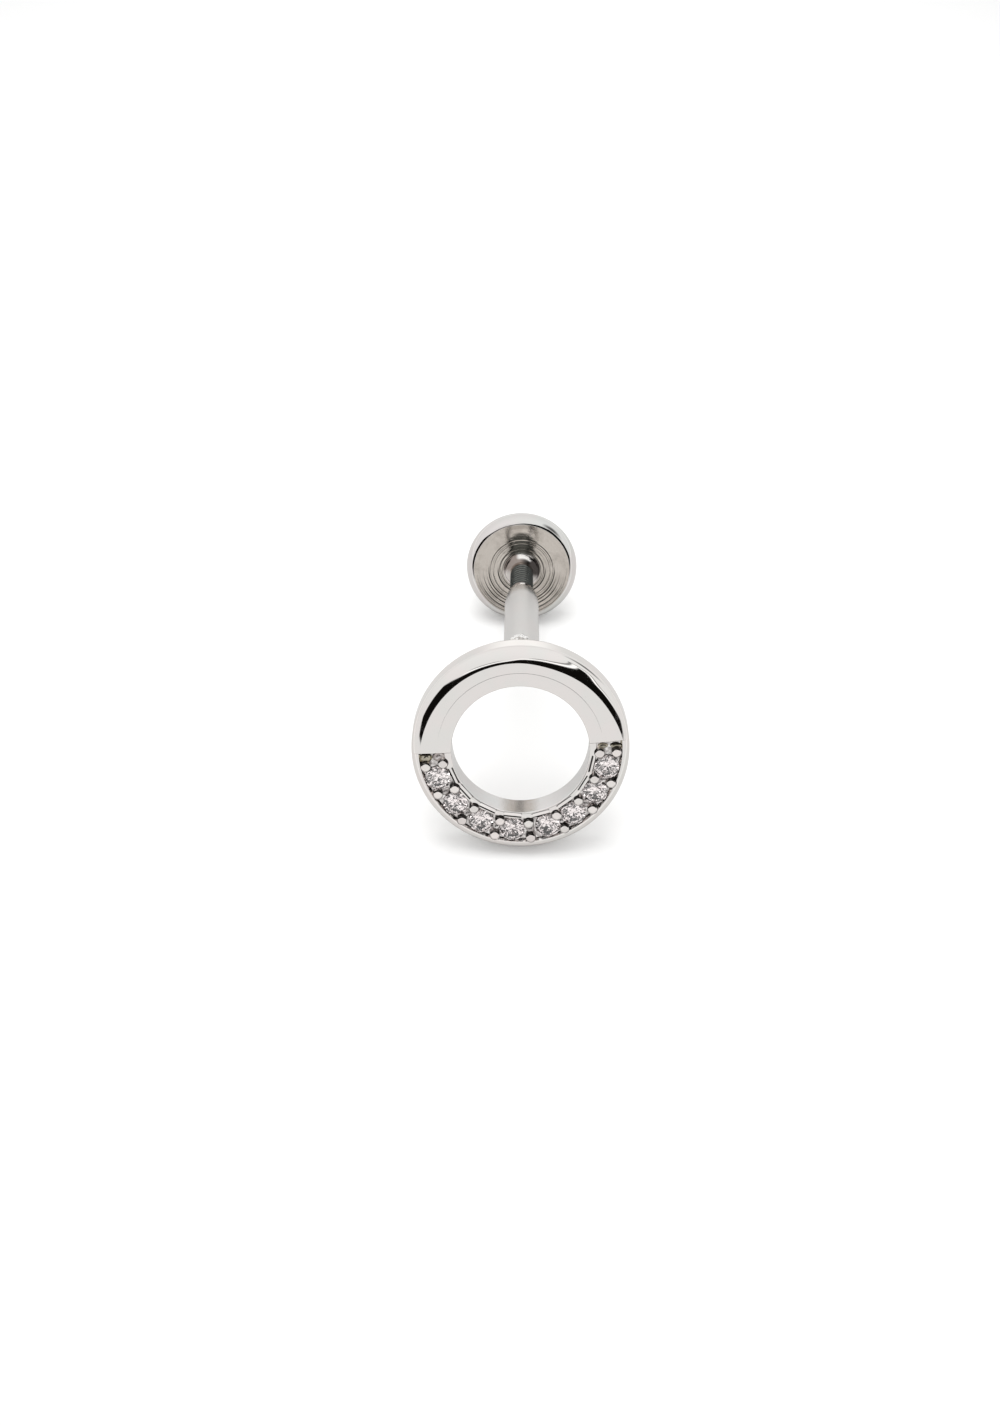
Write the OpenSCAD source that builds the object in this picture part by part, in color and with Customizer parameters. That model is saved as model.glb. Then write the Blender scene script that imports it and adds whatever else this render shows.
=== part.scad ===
// Flat-back piercing stud with an open circle front, half of it set with small stones.
// Everything is modelled on the bench, face up: +X to the right, +Y towards twelve o'clock on the
// circle, +Z towards the viewer, with the front face at Z = 0. laid_down() then tips the whole stud
// back until the circle's rear rim and the disc's rim stand on the ground at Z = 0.

/* [Open circle] */
// Outer diameter of the circle
hoop_d = 7.35; // [7.2:0.05:7.6]
// Diameter of its opening
hole_d = 4.65; // [4.6:0.05:4.75]
// Thickness from the front face to the back
hoop_t = 1.02; // [0.95:0.01:1.1]
// Rounding of the rear rim, and of the set half's front rim
rim_r = 0.2; // [0.12:0.01:0.24]
// Polished half: diameter where its flat face ends and its shoulder starts
face_d = 6.24; // [6.2:0.02:6.3]
// Radius of the shoulder's long soft curve
shoulder_r = 0.9; // [0.85:0.05:1]
// Radius of the tight curve that ends it at the rim
front_rim_r = 0.18; // [0.16:0.01:0.2]

/* [Stone setting] */
// Diameter of each stone
stone_d = 0.86; // [0.8:0.02:0.88]
// Radius of the circle through the stones' centres
stone_ring_r = 2.98; // [2.94:0.01:3.0]
// Angle between neighbouring stones
stone_pitch = 21; // [20.5:0.1:21.4]
// Angle between a step and the stone next to it
end_gap = 18.5; // [18:0.1:19.5]
// Turn of the whole setting from the bottom of the circle, anticlockwise
setting_turn = 5; // [0:0.5:8]
// Depth of the cut floor between the stones
floor_cut = 0.12; // [0.08:0.01:0.16]
// Diameter of the holding beads
bead_d = 0.36; // [0.3:0.01:0.38]

/* [Post] */
// Outer diameter of the post
tube_d = 1.2; // [1.2:0.01:1.25]
// Length of the post behind the circle
tube_len = 5.75; // [5.7:0.05:6.5]
// Distance from the post's axis to the circle's outer rim
post_inset = 0.625; // [0.62:0.005:0.66]
// Diameter of the post's open end, after its long soft taper
nose_d = 0.98; // [0.96:0.01:1.06]
// Length of that taper
nose_len = 1.2; // [0.8:0.1:1.6]

/* [Screw back] */
// Diameter of the disc
disc_d = 4.1; // [3.9:0.05:4.3]
// Thickness of the disc
disc_t = 0.9; // [0.8:0.05:1]
// Rounding of the disc's edge
disc_edge_r = 0.6; // [0.56:0.02:0.7]
// Outer diameter of the screw thread
thread_d = 0.84; // [0.8:0.01:0.85]
// Thread pitch
thread_pitch = 0.225; // [0.2:0.005:0.25]
// Length of pin that shows between the post and the disc
pin_shown = 2.7; // [2.2:0.1:2.8]
// Length of pin inside the post
pin_hidden = 2.4; // [2:0.1:2.4]

/* [Hidden] */
$fn = 96;
STONE_COUNT = 8;

// How each stone was set by hand: slip along the circle and turn about its own axis, in degrees
SLIP = 0;
TURN = 1;
STONES = [[0, 8], [0.5, 31], [0.5, 17], [1, 4], [3.5, 26], [1.5, 12], [1.5, 38], [0, 21]];

// Round cut in shares of the stone's diameter: heights above and below the girdle
CROWN_H = 0.15;
GIRDLE_H = 0.03;
PAVILION_H = 0.43;
// Round cut in shares of the stone's radius
TABLE_R = 0.56;
STAR_R = 0.8;
LOWER_R = 0.3;

hoop_r = hoop_d / 2;
hole_r = hole_d / 2;
face_r = face_d / 2;
stone_r = stone_d / 2;
bead_r = bead_d / 2;
tube_r = tube_d / 2;
disc_r = disc_d / 2;
thread_r = thread_d / 2;

// Angle at which the shoulder's two curves meet, and depth of the tight one's centre
shoulder_sweep = asin((hoop_r - front_rim_r - face_r) / (shoulder_r - front_rim_r));
front_rim_z = -shoulder_r + (shoulder_r - front_rim_r) * cos(shoulder_sweep);

// The setting runs from the left step, below nine o'clock, round the bottom to the right step
setting_arc = 2 * end_gap + (STONE_COUNT - 1) * stone_pitch;
setting_start = 270 + setting_turn - setting_arc / 2;
girdle_z = -0.05;
// Clear space left all round each stone
stone_gap = 0.015;
// Walls left standing inside and outside the cut floor
outer_wall_r = 3.42;
inner_wall_r = 2.56;
bright_cut_r = 2.44;
bright_cut_w = 0.5;
inner_bead_r = 2.66;
outer_bead_r = 3.27;
bead_z = -0.06;
// End beads stand this far from their step, each in front of a scooped dent
end_bead_gap = 7;
scoop_gap = 3.4;
scoop_r = 0.2;
scoop_z = -0.05;

// Post, its bore and the solder that joins it to the circle
post_y = hoop_r - post_inset;
post_root = 0.4;
bore_r = thread_r + 0.015;
bore_len = tube_len - 0.3;
tube_end_z = -(hoop_t + tube_len);
SOLDER = [[-0.2, 0.1], [-0.08, 0.13], [0.07, 0.1]];

// Screw back: its front face, the flare at the pin's root and the thread's depth
disc_z = tube_end_z - pin_shown;
flare_r = 0.34;
thread_depth = 0.09;
thread_root_r = thread_r - thread_depth;
thread_len = pin_shown + pin_hidden - flare_r - thread_pitch;
thread_turns = floor(thread_len / thread_pitch);
disc_face_r = disc_r - disc_edge_r + sqrt(pow(disc_edge_r, 2) - pow(disc_t / 2, 2));

// Rest on the ground: both rims are round, so the ground touches two circles of these centres.
// Here u runs up in the circle's plane and n backwards along the post.
rear_n = hoop_t - rim_r;
rear_u = -(hoop_r - rim_r);
edge_n = disc_t / 2 - disc_z;
edge_u = post_y - (disc_r - disc_edge_r);
span = norm([edge_n - rear_n, edge_u - rear_u]);
lean = atan2(edge_u - rear_u, edge_n - rear_n) - asin((disc_edge_r - rim_r) / span);
lift = rim_r + rear_n * sin(lean) - rear_u * cos(lean);
y_front = rim_r * cos(lean) - (hoop_r - rim_r) * sin(lean) - rim_r;
y_back = (disc_t - disc_z) * cos(lean) + (post_y + disc_face_r) * sin(lean);

// Places a part that was modelled face up on the bench as the stud lies at rest
module laid_down() {
    translate([0, -(y_front + y_back) / 2, lift])
        rotate([90 - lean, 0, 0])
            children();
}

function stone_angle(i) = setting_start + end_gap + i * stone_pitch + STONES[i][SLIP];

// Beads stand halfway between neighbouring stones, and near the two steps
function bead_angle(i) =
    i == 0 ? setting_start + end_bead_gap :
    i == STONE_COUNT ? setting_start + setting_arc - end_bead_gap :
    (stone_angle(i - 1) + stone_angle(i)) / 2;

function polar(r, a) = [r * cos(a), r * sin(a)];

// Both cross-sections run from the opening outwards. The set half is simply rounded at both rims.
module set_section() {
    translate([hole_r, -hoop_t])
        square([hoop_r - rim_r - hole_r, hoop_t]);
    translate([hole_r, rim_r - hoop_t])
        square([hoop_r - hole_r, hoop_t - 2 * rim_r]);
    for (z = [-rim_r, rim_r - hoop_t])
        translate([hoop_r - rim_r, z])
            circle(rim_r);
}

// The polished half's face runs into a long soft curve, which meets a tight one smoothly
module polished_section() {
    translate([hole_r, -hoop_t])
        square([face_r - hole_r, hoop_t]);
    intersection() {
        translate([face_r, -shoulder_r])
            circle(shoulder_r);
        translate([face_r, front_rim_z])
            square([shoulder_r * sin(shoulder_sweep), shoulder_r]);
    }
    translate([hoop_r - front_rim_r, front_rim_z])
        circle(front_rim_r);
    translate([hole_r, rim_r - hoop_t])
        square([hoop_r - hole_r, hoop_t - rim_r + front_rim_z]);
    translate([hole_r, -hoop_t])
        square([hoop_r - rim_r - hole_r, rim_r]);
    translate([hoop_r - rim_r, rim_r - hoop_t])
        circle(rim_r);
}

module hoop_blank() {
    rotate([0, 0, setting_start])
        rotate_extrude(angle = setting_arc)
            set_section();
    rotate([0, 0, setting_start + setting_arc])
        rotate_extrude(angle = 360 - setting_arc)
            polished_section();
}

// Soldered tube with a bullet-shaped open end
module post_tube() {
    nose_arc_r = (pow(nose_len, 2) + pow((tube_d - nose_d) / 2, 2)) / (tube_d - nose_d);
    translate([0, post_y, 0])
        rotate_extrude()
            intersection() {
                translate([0, tube_end_z])
                    square([tube_r, tube_len + post_root]);
                union() {
                    translate([0, tube_end_z + nose_len])
                        square([tube_r, tube_len]);
                    translate([tube_r - nose_arc_r, tube_end_z + nose_len])
                        circle(nose_arc_r, $fn = 400);
                }
            }
}

module post_bore() {
    translate([0, post_y, tube_end_z - 1])
        cylinder(h = bore_len + 1, r = bore_r);
}

module solder() {
    for (drop = SOLDER)
        translate([drop[0], post_y + tube_r - 0.04, -hoop_t - 0.02])
            sphere(drop[1], $fn = 32);
}

// Floor that is cut down between a thin inner wall and the outer rim
module setting_cut() {
    rotate([0, 0, setting_start])
        rotate_extrude(angle = setting_arc)
            translate([inner_wall_r, -floor_cut])
                square([outer_wall_r - inner_wall_r, 1]);
}

// Straight cut that brightens the inner wall beside a stone
module bright_cut() {
    translate([bright_cut_r, -bright_cut_w / 2, -floor_cut])
        cube([inner_wall_r - bright_cut_r + 0.1, bright_cut_w, 1]);
}

// Space that a stone takes, with the clear gap round it: the seat, and the hold under the beads
module stone_space() {
    r = stone_r + stone_gap;
    crown = CROWN_H * stone_d + stone_gap;
    girdle = GIRDLE_H * stone_d;
    pavilion = PAVILION_H * stone_d + stone_gap;
    crown_slope = (1 - TABLE_R) * stone_r / (CROWN_H * stone_d);
    cylinder(h = crown, r1 = r, r2 = r - crown * crown_slope);
    translate([0, 0, -girdle])
        cylinder(h = girdle, r = r);
    translate([0, 0, -girdle - pavilion])
        cylinder(h = pavilion, r1 = stone_gap, r2 = r);
}

module beads() {
    for (i = [0 : STONE_COUNT], r = [inner_bead_r, outer_bead_r])
        translate(concat(polar(r, bead_angle(i)), bead_z)) {
            sphere(bead_r, $fn = 48);
            translate([0, 0, -floor_cut])
                cylinder(h = floor_cut, r = bead_r, $fn = 48);
        }
}

module scoops() {
    for (a = [setting_start + scoop_gap, setting_start + setting_arc - scoop_gap],
         r = [inner_bead_r + 0.04, outer_bead_r - 0.04])
        translate(concat(polar(r, a), scoop_z))
            sphere(scoop_r, $fn = 48);
}

// Circle, beads, post and solder are one piece of metal
module hoop_and_post() {
    color([0.86, 0.86, 0.85])
        laid_down()
            difference() {
                union() {
                    difference() {
                        hoop_blank();
                        setting_cut();
                        for (i = [0 : STONE_COUNT - 1])
                            rotate([0, 0, stone_angle(i)])
                                bright_cut();
                        scoops();
                    }
                    beads();
                    post_tube();
                    solder();
                }
                post_bore();
                for (i = [0 : STONE_COUNT - 1])
                    translate(concat(polar(stone_ring_r, stone_angle(i)), girdle_z))
                        stone_space();
            }
}

// Ring of count points, the first one at the angle start
function ring(count, r, z, start = 0) =
    [for (k = [0 : count - 1]) concat(polar(r, start + k * 360 / count), z)];

// Round brilliant cut: table, eight stars and kites, sixteen girdle facets, and the pavilion
module brilliant(d) {
    r = d / 2;
    crown = CROWN_H * d;
    foot = -GIRDLE_H * d;
    deep = -PAVILION_H * d;
    half = cos(22.5);
    // Heights that keep the four corners of each kite in one plane
    star_z = crown * (1 - STAR_R * half) / (1 - TABLE_R);
    lower_z = foot + deep * (1 - LOWER_R * half);
    // Point numbers: 0 table, 8 stars, 16 upper girdle, 32 lower girdle, 48 lower, 56 culet
    points = concat(
        ring(8, TABLE_R * r, crown),
        ring(8, STAR_R * r, star_z, 22.5),
        ring(16, r, 0),
        ring(16, r, foot),
        ring(8, LOWER_R * r, lower_z, 22.5),
        [[0, 0, foot + deep]]);
    faces = concat(
        [[for (k = [0 : 7]) 7 - k]],
        [for (k = [0 : 7]) let (n = (k + 1) % 8) [k, n, 8 + k]],
        [for (k = [0 : 7]) let (p = (k + 7) % 8) [8 + p, k, 8 + k, 16 + 2 * k]],
        [for (k = [0 : 7]) [8 + k, 17 + 2 * k, 16 + 2 * k]],
        [for (k = [0 : 7]) [8 + k, 16 + (2 * k + 2) % 16, 17 + 2 * k]],
        [for (k = [0 : 15]) let (n = (k + 1) % 16) [16 + k, 16 + n, 32 + n, 32 + k]],
        [for (k = [0 : 7]) [32 + 2 * k, 33 + 2 * k, 48 + k]],
        [for (k = [0 : 7]) [33 + 2 * k, 32 + (2 * k + 2) % 16, 48 + k]],
        [for (k = [0 : 7]) let (p = (k + 7) % 8) [32 + 2 * k, 48 + k, 56, 48 + p]]);
    polyhedron(points, faces);
}

module stone(i) {
    color([0.78, 0.75, 0.78])
        laid_down()
            translate(concat(polar(stone_ring_r, stone_angle(i)), girdle_z))
                rotate([0, 0, STONES[i][TURN]])
                    brilliant(stone_d);
}

module disc_section() {
    intersection() {
        translate([0, -disc_t])
            square([disc_r, disc_t]);
        union() {
            translate([0, -disc_t])
                square([disc_r - disc_edge_r, disc_t]);
            translate([disc_r - disc_edge_r, -disc_t / 2])
                circle(disc_edge_r);
        }
    }
}

// Pin with a thread drawn as rings, flared where it grows out of the disc
module pin_section() {
    crest = 0.25 * thread_pitch;
    ridges = [for (k = [0 : thread_turns - 1], p = [[0.25, thread_root_r], [0.5, thread_r],
                                                    [0.75, thread_r], [1, thread_root_r]])
        [p[1], flare_r + thread_pitch * (k + p[0])]];
    polygon(concat([[0, 0], [thread_root_r, 0]], ridges,
                   [[0, flare_r + thread_pitch * thread_turns + crest]]));
    difference() {
        square([thread_root_r + flare_r, flare_r]);
        translate([thread_root_r + flare_r, flare_r])
            circle(flare_r);
    }
}

module screw_back() {
    color([0.66, 0.63, 0.6])
        laid_down()
            translate([0, post_y, disc_z])
                rotate_extrude() {
                    disc_section();
                    pin_section();
                }
}

hoop_and_post();
stone(0);  // stone_1
stone(1);  // stone_2
stone(2);  // stone_3
stone(3);  // stone_4
stone(4);  // stone_5
stone(5);  // stone_6
stone(6);  // stone_7
stone(7);  // stone_8
screw_back();
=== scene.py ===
"""Looks of the flat-back piercing stud with an open circle front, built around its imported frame.

Every mesh is drawn on the bench in millimetres, face up, as the part's source is: +X to the right, +Y
towards twelve o'clock on the circle, +Z towards the viewer, and the front face at Z = 0. The bench then
lays it down in the row frame in metres, where the circle's rear rim and the disc's rim stand on the
ground.
"""

from __future__ import annotations

import logging
import math
import random
import sys
from collections.abc import Callable, Iterable, Mapping, Sequence
from dataclasses import dataclass, field
from enum import Enum

import bpy
import numpy as np
from mathutils import Matrix, Vector, noise

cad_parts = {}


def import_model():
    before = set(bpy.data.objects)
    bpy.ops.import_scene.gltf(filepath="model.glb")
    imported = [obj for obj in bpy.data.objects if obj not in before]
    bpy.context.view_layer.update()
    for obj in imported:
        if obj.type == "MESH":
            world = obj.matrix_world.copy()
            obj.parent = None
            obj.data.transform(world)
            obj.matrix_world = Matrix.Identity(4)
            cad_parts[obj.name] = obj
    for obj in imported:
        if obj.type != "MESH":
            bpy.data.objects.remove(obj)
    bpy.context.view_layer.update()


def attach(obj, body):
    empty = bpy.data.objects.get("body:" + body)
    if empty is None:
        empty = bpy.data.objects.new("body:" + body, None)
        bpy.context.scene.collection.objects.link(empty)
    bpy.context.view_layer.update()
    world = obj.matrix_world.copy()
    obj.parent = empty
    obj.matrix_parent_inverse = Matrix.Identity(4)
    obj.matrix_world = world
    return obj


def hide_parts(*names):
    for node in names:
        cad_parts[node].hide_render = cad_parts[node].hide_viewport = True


LOG = logging.getLogger("stud")
MM = 0.001
# Turned profiles and tools that stand on an axis close at this radius, in millimetres
CORE_R = 0.02
# Patterns that run round an axis are turned by this, in radians, so that their middle is off the front
PATTERN_TURN = 0.7

Point = tuple[float, float]
Colour = tuple[float, float, float]


class Body(Enum):
    """The part's moving bodies."""

    ROOT = "root"
    BACK = "back"


class Slot(Enum):
    """Material slots of the record."""

    POLISHED = "polished_metal"
    STONE = "stone"
    TURNED = "turned_metal"


def arc(centre: Point, radius: float, start: float, stop: float, count: int) -> list[Point]:
    """Points of a circular arc in a cross-section, from one angle in degrees to another."""
    turns = np.radians(np.linspace(start, stop, count))
    return [(centre[0] + radius * math.cos(t), centre[1] + radius * math.sin(t)) for t in turns]


def between(first: Point, last: Point, count: int) -> list[Point]:
    """Points of a straight line in a cross-section, both ends included."""
    shares = np.linspace(0.0, 1.0, count)
    return [tuple(np.add(first, np.multiply(s, np.subtract(last, first)))) for s in shares]


def ease(low: float, high: float, value: float) -> float:
    """A soft step from 0 at low to 1 at high."""
    share = min(max((value - low) / (high - low), 0.0), 1.0)
    return share * share * (3.0 - 2.0 * share)


def polar(radius: float, degrees: float, height: float = 0.0) -> np.ndarray:
    """A point on the bench from its distance to the circle's centre, its angle and its height."""
    turn = math.radians(degrees)
    return np.array([radius * math.cos(turn), radius * math.sin(turn), height])


@dataclass(frozen=True)
class StudSizes:
    """Driving sizes of the stud in millimetres, the same as in the part's source."""

    hoop_d: float = 7.35
    hole_d: float = 4.65
    hoop_t: float = 1.02
    rim_r: float = 0.2
    shoulder_r: float = 0.9
    front_rim_r: float = 0.18
    stone_d: float = 0.86
    stone_ring_r: float = 2.98
    stone_pitch: float = 21.0
    girdle_z: float = -0.05
    girdle_h: float = 0.03
    end_gap: float = 18.5
    setting_turn: float = 5.0
    floor_cut: float = 0.12
    bead_d: float = 0.36
    tube_d: float = 1.2
    tube_len: float = 5.75
    post_inset: float = 0.625
    nose_d: float = 0.98
    nose_len: float = 1.2
    disc_d: float = 4.1
    disc_t: float = 0.9
    disc_edge_r: float = 0.6
    thread_d: float = 0.84
    thread_pitch: float = 0.225
    pin_shown: float = 2.7
    pin_hidden: float = 2.4
    slips: tuple[float, ...] = (0.0, 0.5, 0.5, 1.0, 3.5, 1.5, 1.5, 0.0)
    turns: tuple[float, ...] = (8.0, 31.0, 17.0, 4.0, 26.0, 12.0, 38.0, 21.0)

    @property
    def hoop_r(self) -> float:
        """Outer radius of the circle."""
        return self.hoop_d / 2

    @property
    def hole_r(self) -> float:
        """Radius of its opening."""
        return self.hole_d / 2

    @property
    def post_y(self) -> float:
        """Height of the post's axis above the circle's centre."""
        return self.hoop_r - self.post_inset

    @property
    def tube_end_z(self) -> float:
        """Depth of the post's open end."""
        return -(self.hoop_t + self.tube_len)

    @property
    def disc_z(self) -> float:
        """Depth of the disc's turned face."""
        return self.tube_end_z - self.pin_shown

    @property
    def disc_face_r(self) -> float:
        """Radius of the disc's flat face."""
        half = self.disc_t / 2
        return self.disc_d / 2 - self.disc_edge_r + math.sqrt(self.disc_edge_r**2 - half**2)

    @property
    def setting_arc(self) -> float:
        """Angle that the setting takes up."""
        return 2 * self.end_gap + (len(self.slips) - 1) * self.stone_pitch

    @property
    def setting_start(self) -> float:
        """Angle of the left step."""
        return 270 + self.setting_turn - self.setting_arc / 2

    @property
    def setting_stop(self) -> float:
        """Angle of the right step, counted on from the left one."""
        return self.setting_start + self.setting_arc

    def stone_angle(self, index: int) -> float:
        """Angle of a stone, counted from the left step."""
        return self.setting_start + self.end_gap + index * self.stone_pitch + self.slips[index]


@dataclass(frozen=True)
class Bench:
    """Lays down what was drawn face up on the bench, as the stud rests on the ground."""

    sizes: StudSizes

    @property
    def lean(self) -> float:
        """Lean of the post from level, in radians, from the two rims that touch the ground."""
        s = self.sizes
        run = s.disc_t / 2 - s.disc_z - (s.hoop_t - s.rim_r)
        rise = s.post_y - (s.disc_d / 2 - s.disc_edge_r) + s.hoop_r - s.rim_r
        return math.atan2(rise, run) - math.asin((s.disc_edge_r - s.rim_r) / math.hypot(run, rise))

    @property
    def lift(self) -> float:
        """Height of the circle's centre above the ground."""
        s = self.sizes
        depth = s.hoop_t - s.rim_r
        return s.rim_r + depth * math.sin(self.lean) + (s.hoop_r - s.rim_r) * math.cos(self.lean)

    @property
    def middle(self) -> float:
        """Distance along Y from the circle's centre to the middle of the resting stud."""
        s = self.sizes
        front = s.rim_r * math.cos(self.lean) - (s.hoop_r - s.rim_r) * math.sin(self.lean) - s.rim_r
        back = (s.disc_t - s.disc_z) * math.cos(self.lean)
        back += (s.post_y + s.disc_face_r) * math.sin(self.lean)
        return (front + back) / 2

    def lay_down(self, points: np.ndarray) -> np.ndarray:
        """Turns bench points in millimetres into row points in metres.

        Args:
            points: array of bench points, one in each row.

        Returns:
            The same points in the row frame.
        """
        c, s = math.cos(self.lean), math.sin(self.lean)
        x, y, z = np.asarray(points, dtype=float).T
        laid = np.stack([x, y * s - z * c - self.middle, z * s + y * c + self.lift], axis=1)
        return laid * MM


def _operation(kind: str, flipped: bool = False) -> Callable[..., Wire]:
    """Makes a method of Wire that adds the node of one operation.

    Args:
        kind: the operation, named alike for numbers and for vectors.
        flipped: True puts the wire last, for a plain number that stands before the operator.

    Returns:
        The method.
    """

    def method(self: Wire, *others: Source) -> Wire:
        """Adds the node, which works on vectors where one of the values is a vector or colour.

        Args:
            others: the operation's other values.

        Returns:
            The result.
        """
        values = (*others, self) if flipped else (self, *others)
        vector = any(isinstance(value, Wire) and value.is_vector for value in values)
        node = "ShaderNodeVectorMath" if vector else "ShaderNodeMath"
        return self.graph.wire(node, {"operation": kind}, dict(enumerate(values)))

    return method


class Wire:
    """One output socket of a shader, so that shader maths reads as plain expressions."""

    def __init__(self, graph: Graph, socket: bpy.types.NodeSocket) -> None:
        """Keeps the socket and the graph that it belongs to."""
        self.graph = graph
        self.socket = socket

    @property
    def is_vector(self) -> bool:
        """True for vectors and colours."""
        return self.socket.type in ("VECTOR", "RGBA")

    __add__ = __radd__ = _operation("ADD")
    __sub__ = _operation("SUBTRACT")
    __rsub__ = _operation("SUBTRACT", flipped=True)
    __mul__ = __rmul__ = _operation("MULTIPLY")
    __truediv__ = _operation("DIVIDE")
    __rtruediv__ = _operation("DIVIDE", flipped=True)
    __pow__ = _operation("POWER")
    sine = _operation("SINE")
    size = _operation("ABSOLUTE")
    least = _operation("MINIMUM")
    most = _operation("MAXIMUM")

    def __neg__(self) -> Wire:
        """Negative."""
        return self * -1.0

    def dot(self, other: Sequence[float]) -> Wire:
        """Scalar product with a fixed vector."""
        values = {0: self, 1: other}
        return self.graph.wire("ShaderNodeVectorMath", {"operation": "DOT_PRODUCT"}, values, "Value")

    def parts(self) -> tuple[Wire, ...]:
        """The three components."""
        made = self.graph.node("ShaderNodeSeparateXYZ", {}, {0: self})
        return tuple(Wire(self.graph, made.outputs[i]) for i in range(3))

    def soft_step(self, low: float, high: float) -> Wire:
        """Soft step from 0 at low to 1 at high."""
        inputs = {"Value": self, "From Min": low, "From Max": high}
        return self.graph.wire("ShaderNodeMapRange", {"interpolation_type": "SMOOTHSTEP"}, inputs, "Result")


Source = Wire | float | Sequence[float]
Settings = Mapping[str, object] | None
Inputs = Mapping[str | int, Source] | None


class Graph:
    """Node tree of one material or of the world."""

    def __init__(self, tree: bpy.types.NodeTree) -> None:
        """Empties the tree."""
        tree.nodes.clear()
        self.tree = tree

    def feed(self, socket: bpy.types.NodeSocket, value: Source) -> None:
        """Links a wire to an input, or sets its value.

        Args:
            socket: the input.
            value: a wire, a number, or the numbers of a colour or vector.
        """
        if isinstance(value, Wire):
            self.tree.links.new(value.socket, socket)
            return
        if isinstance(value, (int, float)):
            filled = value if socket.type == "VALUE" else (value,) * len(socket.default_value)
        else:
            filled = (*value, 1.0) if socket.type == "RGBA" and len(value) == 3 else tuple(value)
        socket.default_value = filled

    def node(self, kind: str, settings: Settings = None, inputs: Inputs = None) -> bpy.types.Node:
        """Adds any node.

        Args:
            kind: its type.
            settings: its properties, set first.
            inputs: value or wire of each socket, by name or number.

        Returns:
            The new node.
        """
        made = self.tree.nodes.new(kind)
        for name, value in (settings or {}).items():
            setattr(made, name, value)
        for key, value in (inputs or {}).items():
            self.feed(made.inputs[key], value)
        return made

    def wire(
        self, kind: str, settings: Settings = None, inputs: Inputs = None, output: str | int = 0
    ) -> Wire:
        """Adds any node, as node() does, and gives one of its outputs by name or number."""
        return Wire(self, self.node(kind, settings, inputs).outputs[output])

    def blend(self, share: Source, first: Source, second: Source) -> Wire:
        """Mixes two colours: a share of 0 gives the first, 1 the second."""
        return self.wire("ShaderNodeMix", {"data_type": "RGBA"}, {"Factor": share, 6: first, 7: second}, 2)

    def grain(
        self, place: Wire, scale: float, detail: float = 3.0, rough: float = 0.55, warp: float = 0.0
    ) -> Wire:
        """Value of a soft noise around 0.5, with finer layers as strong as rough says."""
        inputs = {"Vector": place, "Scale": scale, "Detail": detail, "Roughness": rough, "Distortion": warp}
        return self.wire("ShaderNodeTexNoise", {"noise_dimensions": "3D"}, inputs)

    def vector(self, x: Source, y: Source, z: Source) -> Wire:
        """Puts three values together as a vector."""
        return self.wire("ShaderNodeCombineXYZ", {}, {0: x, 1: y, 2: z})

    def bump(self, height: Wire, strength: float, distance: float) -> Wire:
        """Turns a height into a normal. The distance is the real height in metres for a height of 1."""
        inputs = {"Strength": strength, "Distance": distance, "Height": height}
        return self.wire("ShaderNodeBump", {}, inputs)

    def metal(self, colour: Wire, rough: Wire, normal: Wire) -> bpy.types.Node:
        """Adds the shader of bare metal."""
        inputs = {"Base Color": colour, "Metallic": 1.0, "Roughness": rough, "Normal": normal}
        return self.node("ShaderNodeBsdfPrincipled", {}, inputs)


def bench_place(graph: Graph, bench: Bench, axis_y: float = 0.0) -> tuple[Wire, Wire, Wire, Wire]:
    """Finds where a shaded point lies on the bench, in millimetres, from the piece's own coordinates.

    Args:
        graph: the material's graph.
        bench: how the stud lies.
        axis_y: Y of the axis along the bench's Z that distance and angle are counted from.

    Returns:
        The whole bench vector, its height, the distance from the axis and the angle round it in
        radians.
    """
    own = graph.wire("ShaderNodeTexCoord", output="Object")
    row = graph.wire("ShaderNodeVectorMath", {"operation": "SCALE"}, {0: own, "Scale": 1 / MM})
    c, s = math.cos(bench.lean), math.sin(bench.lean)
    x = row.dot((1.0, 0.0, 0.0))
    y = row.dot((0.0, s, c)) + (bench.middle * s - bench.lift * c)
    z = row.dot((0.0, -c, s)) - (bench.middle * c + bench.lift * s)
    up = y - axis_y
    radius = (x * x + up * up) ** 0.5
    turn = graph.wire("ShaderNodeMath", {"operation": "ARCTAN2"}, {0: up, 1: x})
    return graph.vector(x, y, z), z, radius, turn


@dataclass(frozen=True)
class Finish:
    """A surface finish. Each kind says in dress() what its shader does."""

    name: str

    def dress(self, graph: Graph, bench: Bench) -> bpy.types.Node:
        """Adds the shader.

        Args:
            graph: the new material's empty graph.
            bench: how the stud lies, for patterns that follow its shape.

        Returns:
            The shader node.
        """
        raise NotImplementedError

    def material(self, bench: Bench) -> bpy.types.Material:
        """Makes the material, or returns it if it has been made already.

        Args:
            bench: how the stud lies.

        Returns:
            The material.
        """
        if self.name in bpy.data.materials:
            return bpy.data.materials[self.name]
        made = bpy.data.materials.new(self.name)
        made.use_nodes = True
        graph = Graph(made.node_tree)
        shader = self.dress(graph, bench)
        graph.node("ShaderNodeOutputMaterial", {}, {"Surface": Wire(graph, shader.outputs[0])})
        return made


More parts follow.
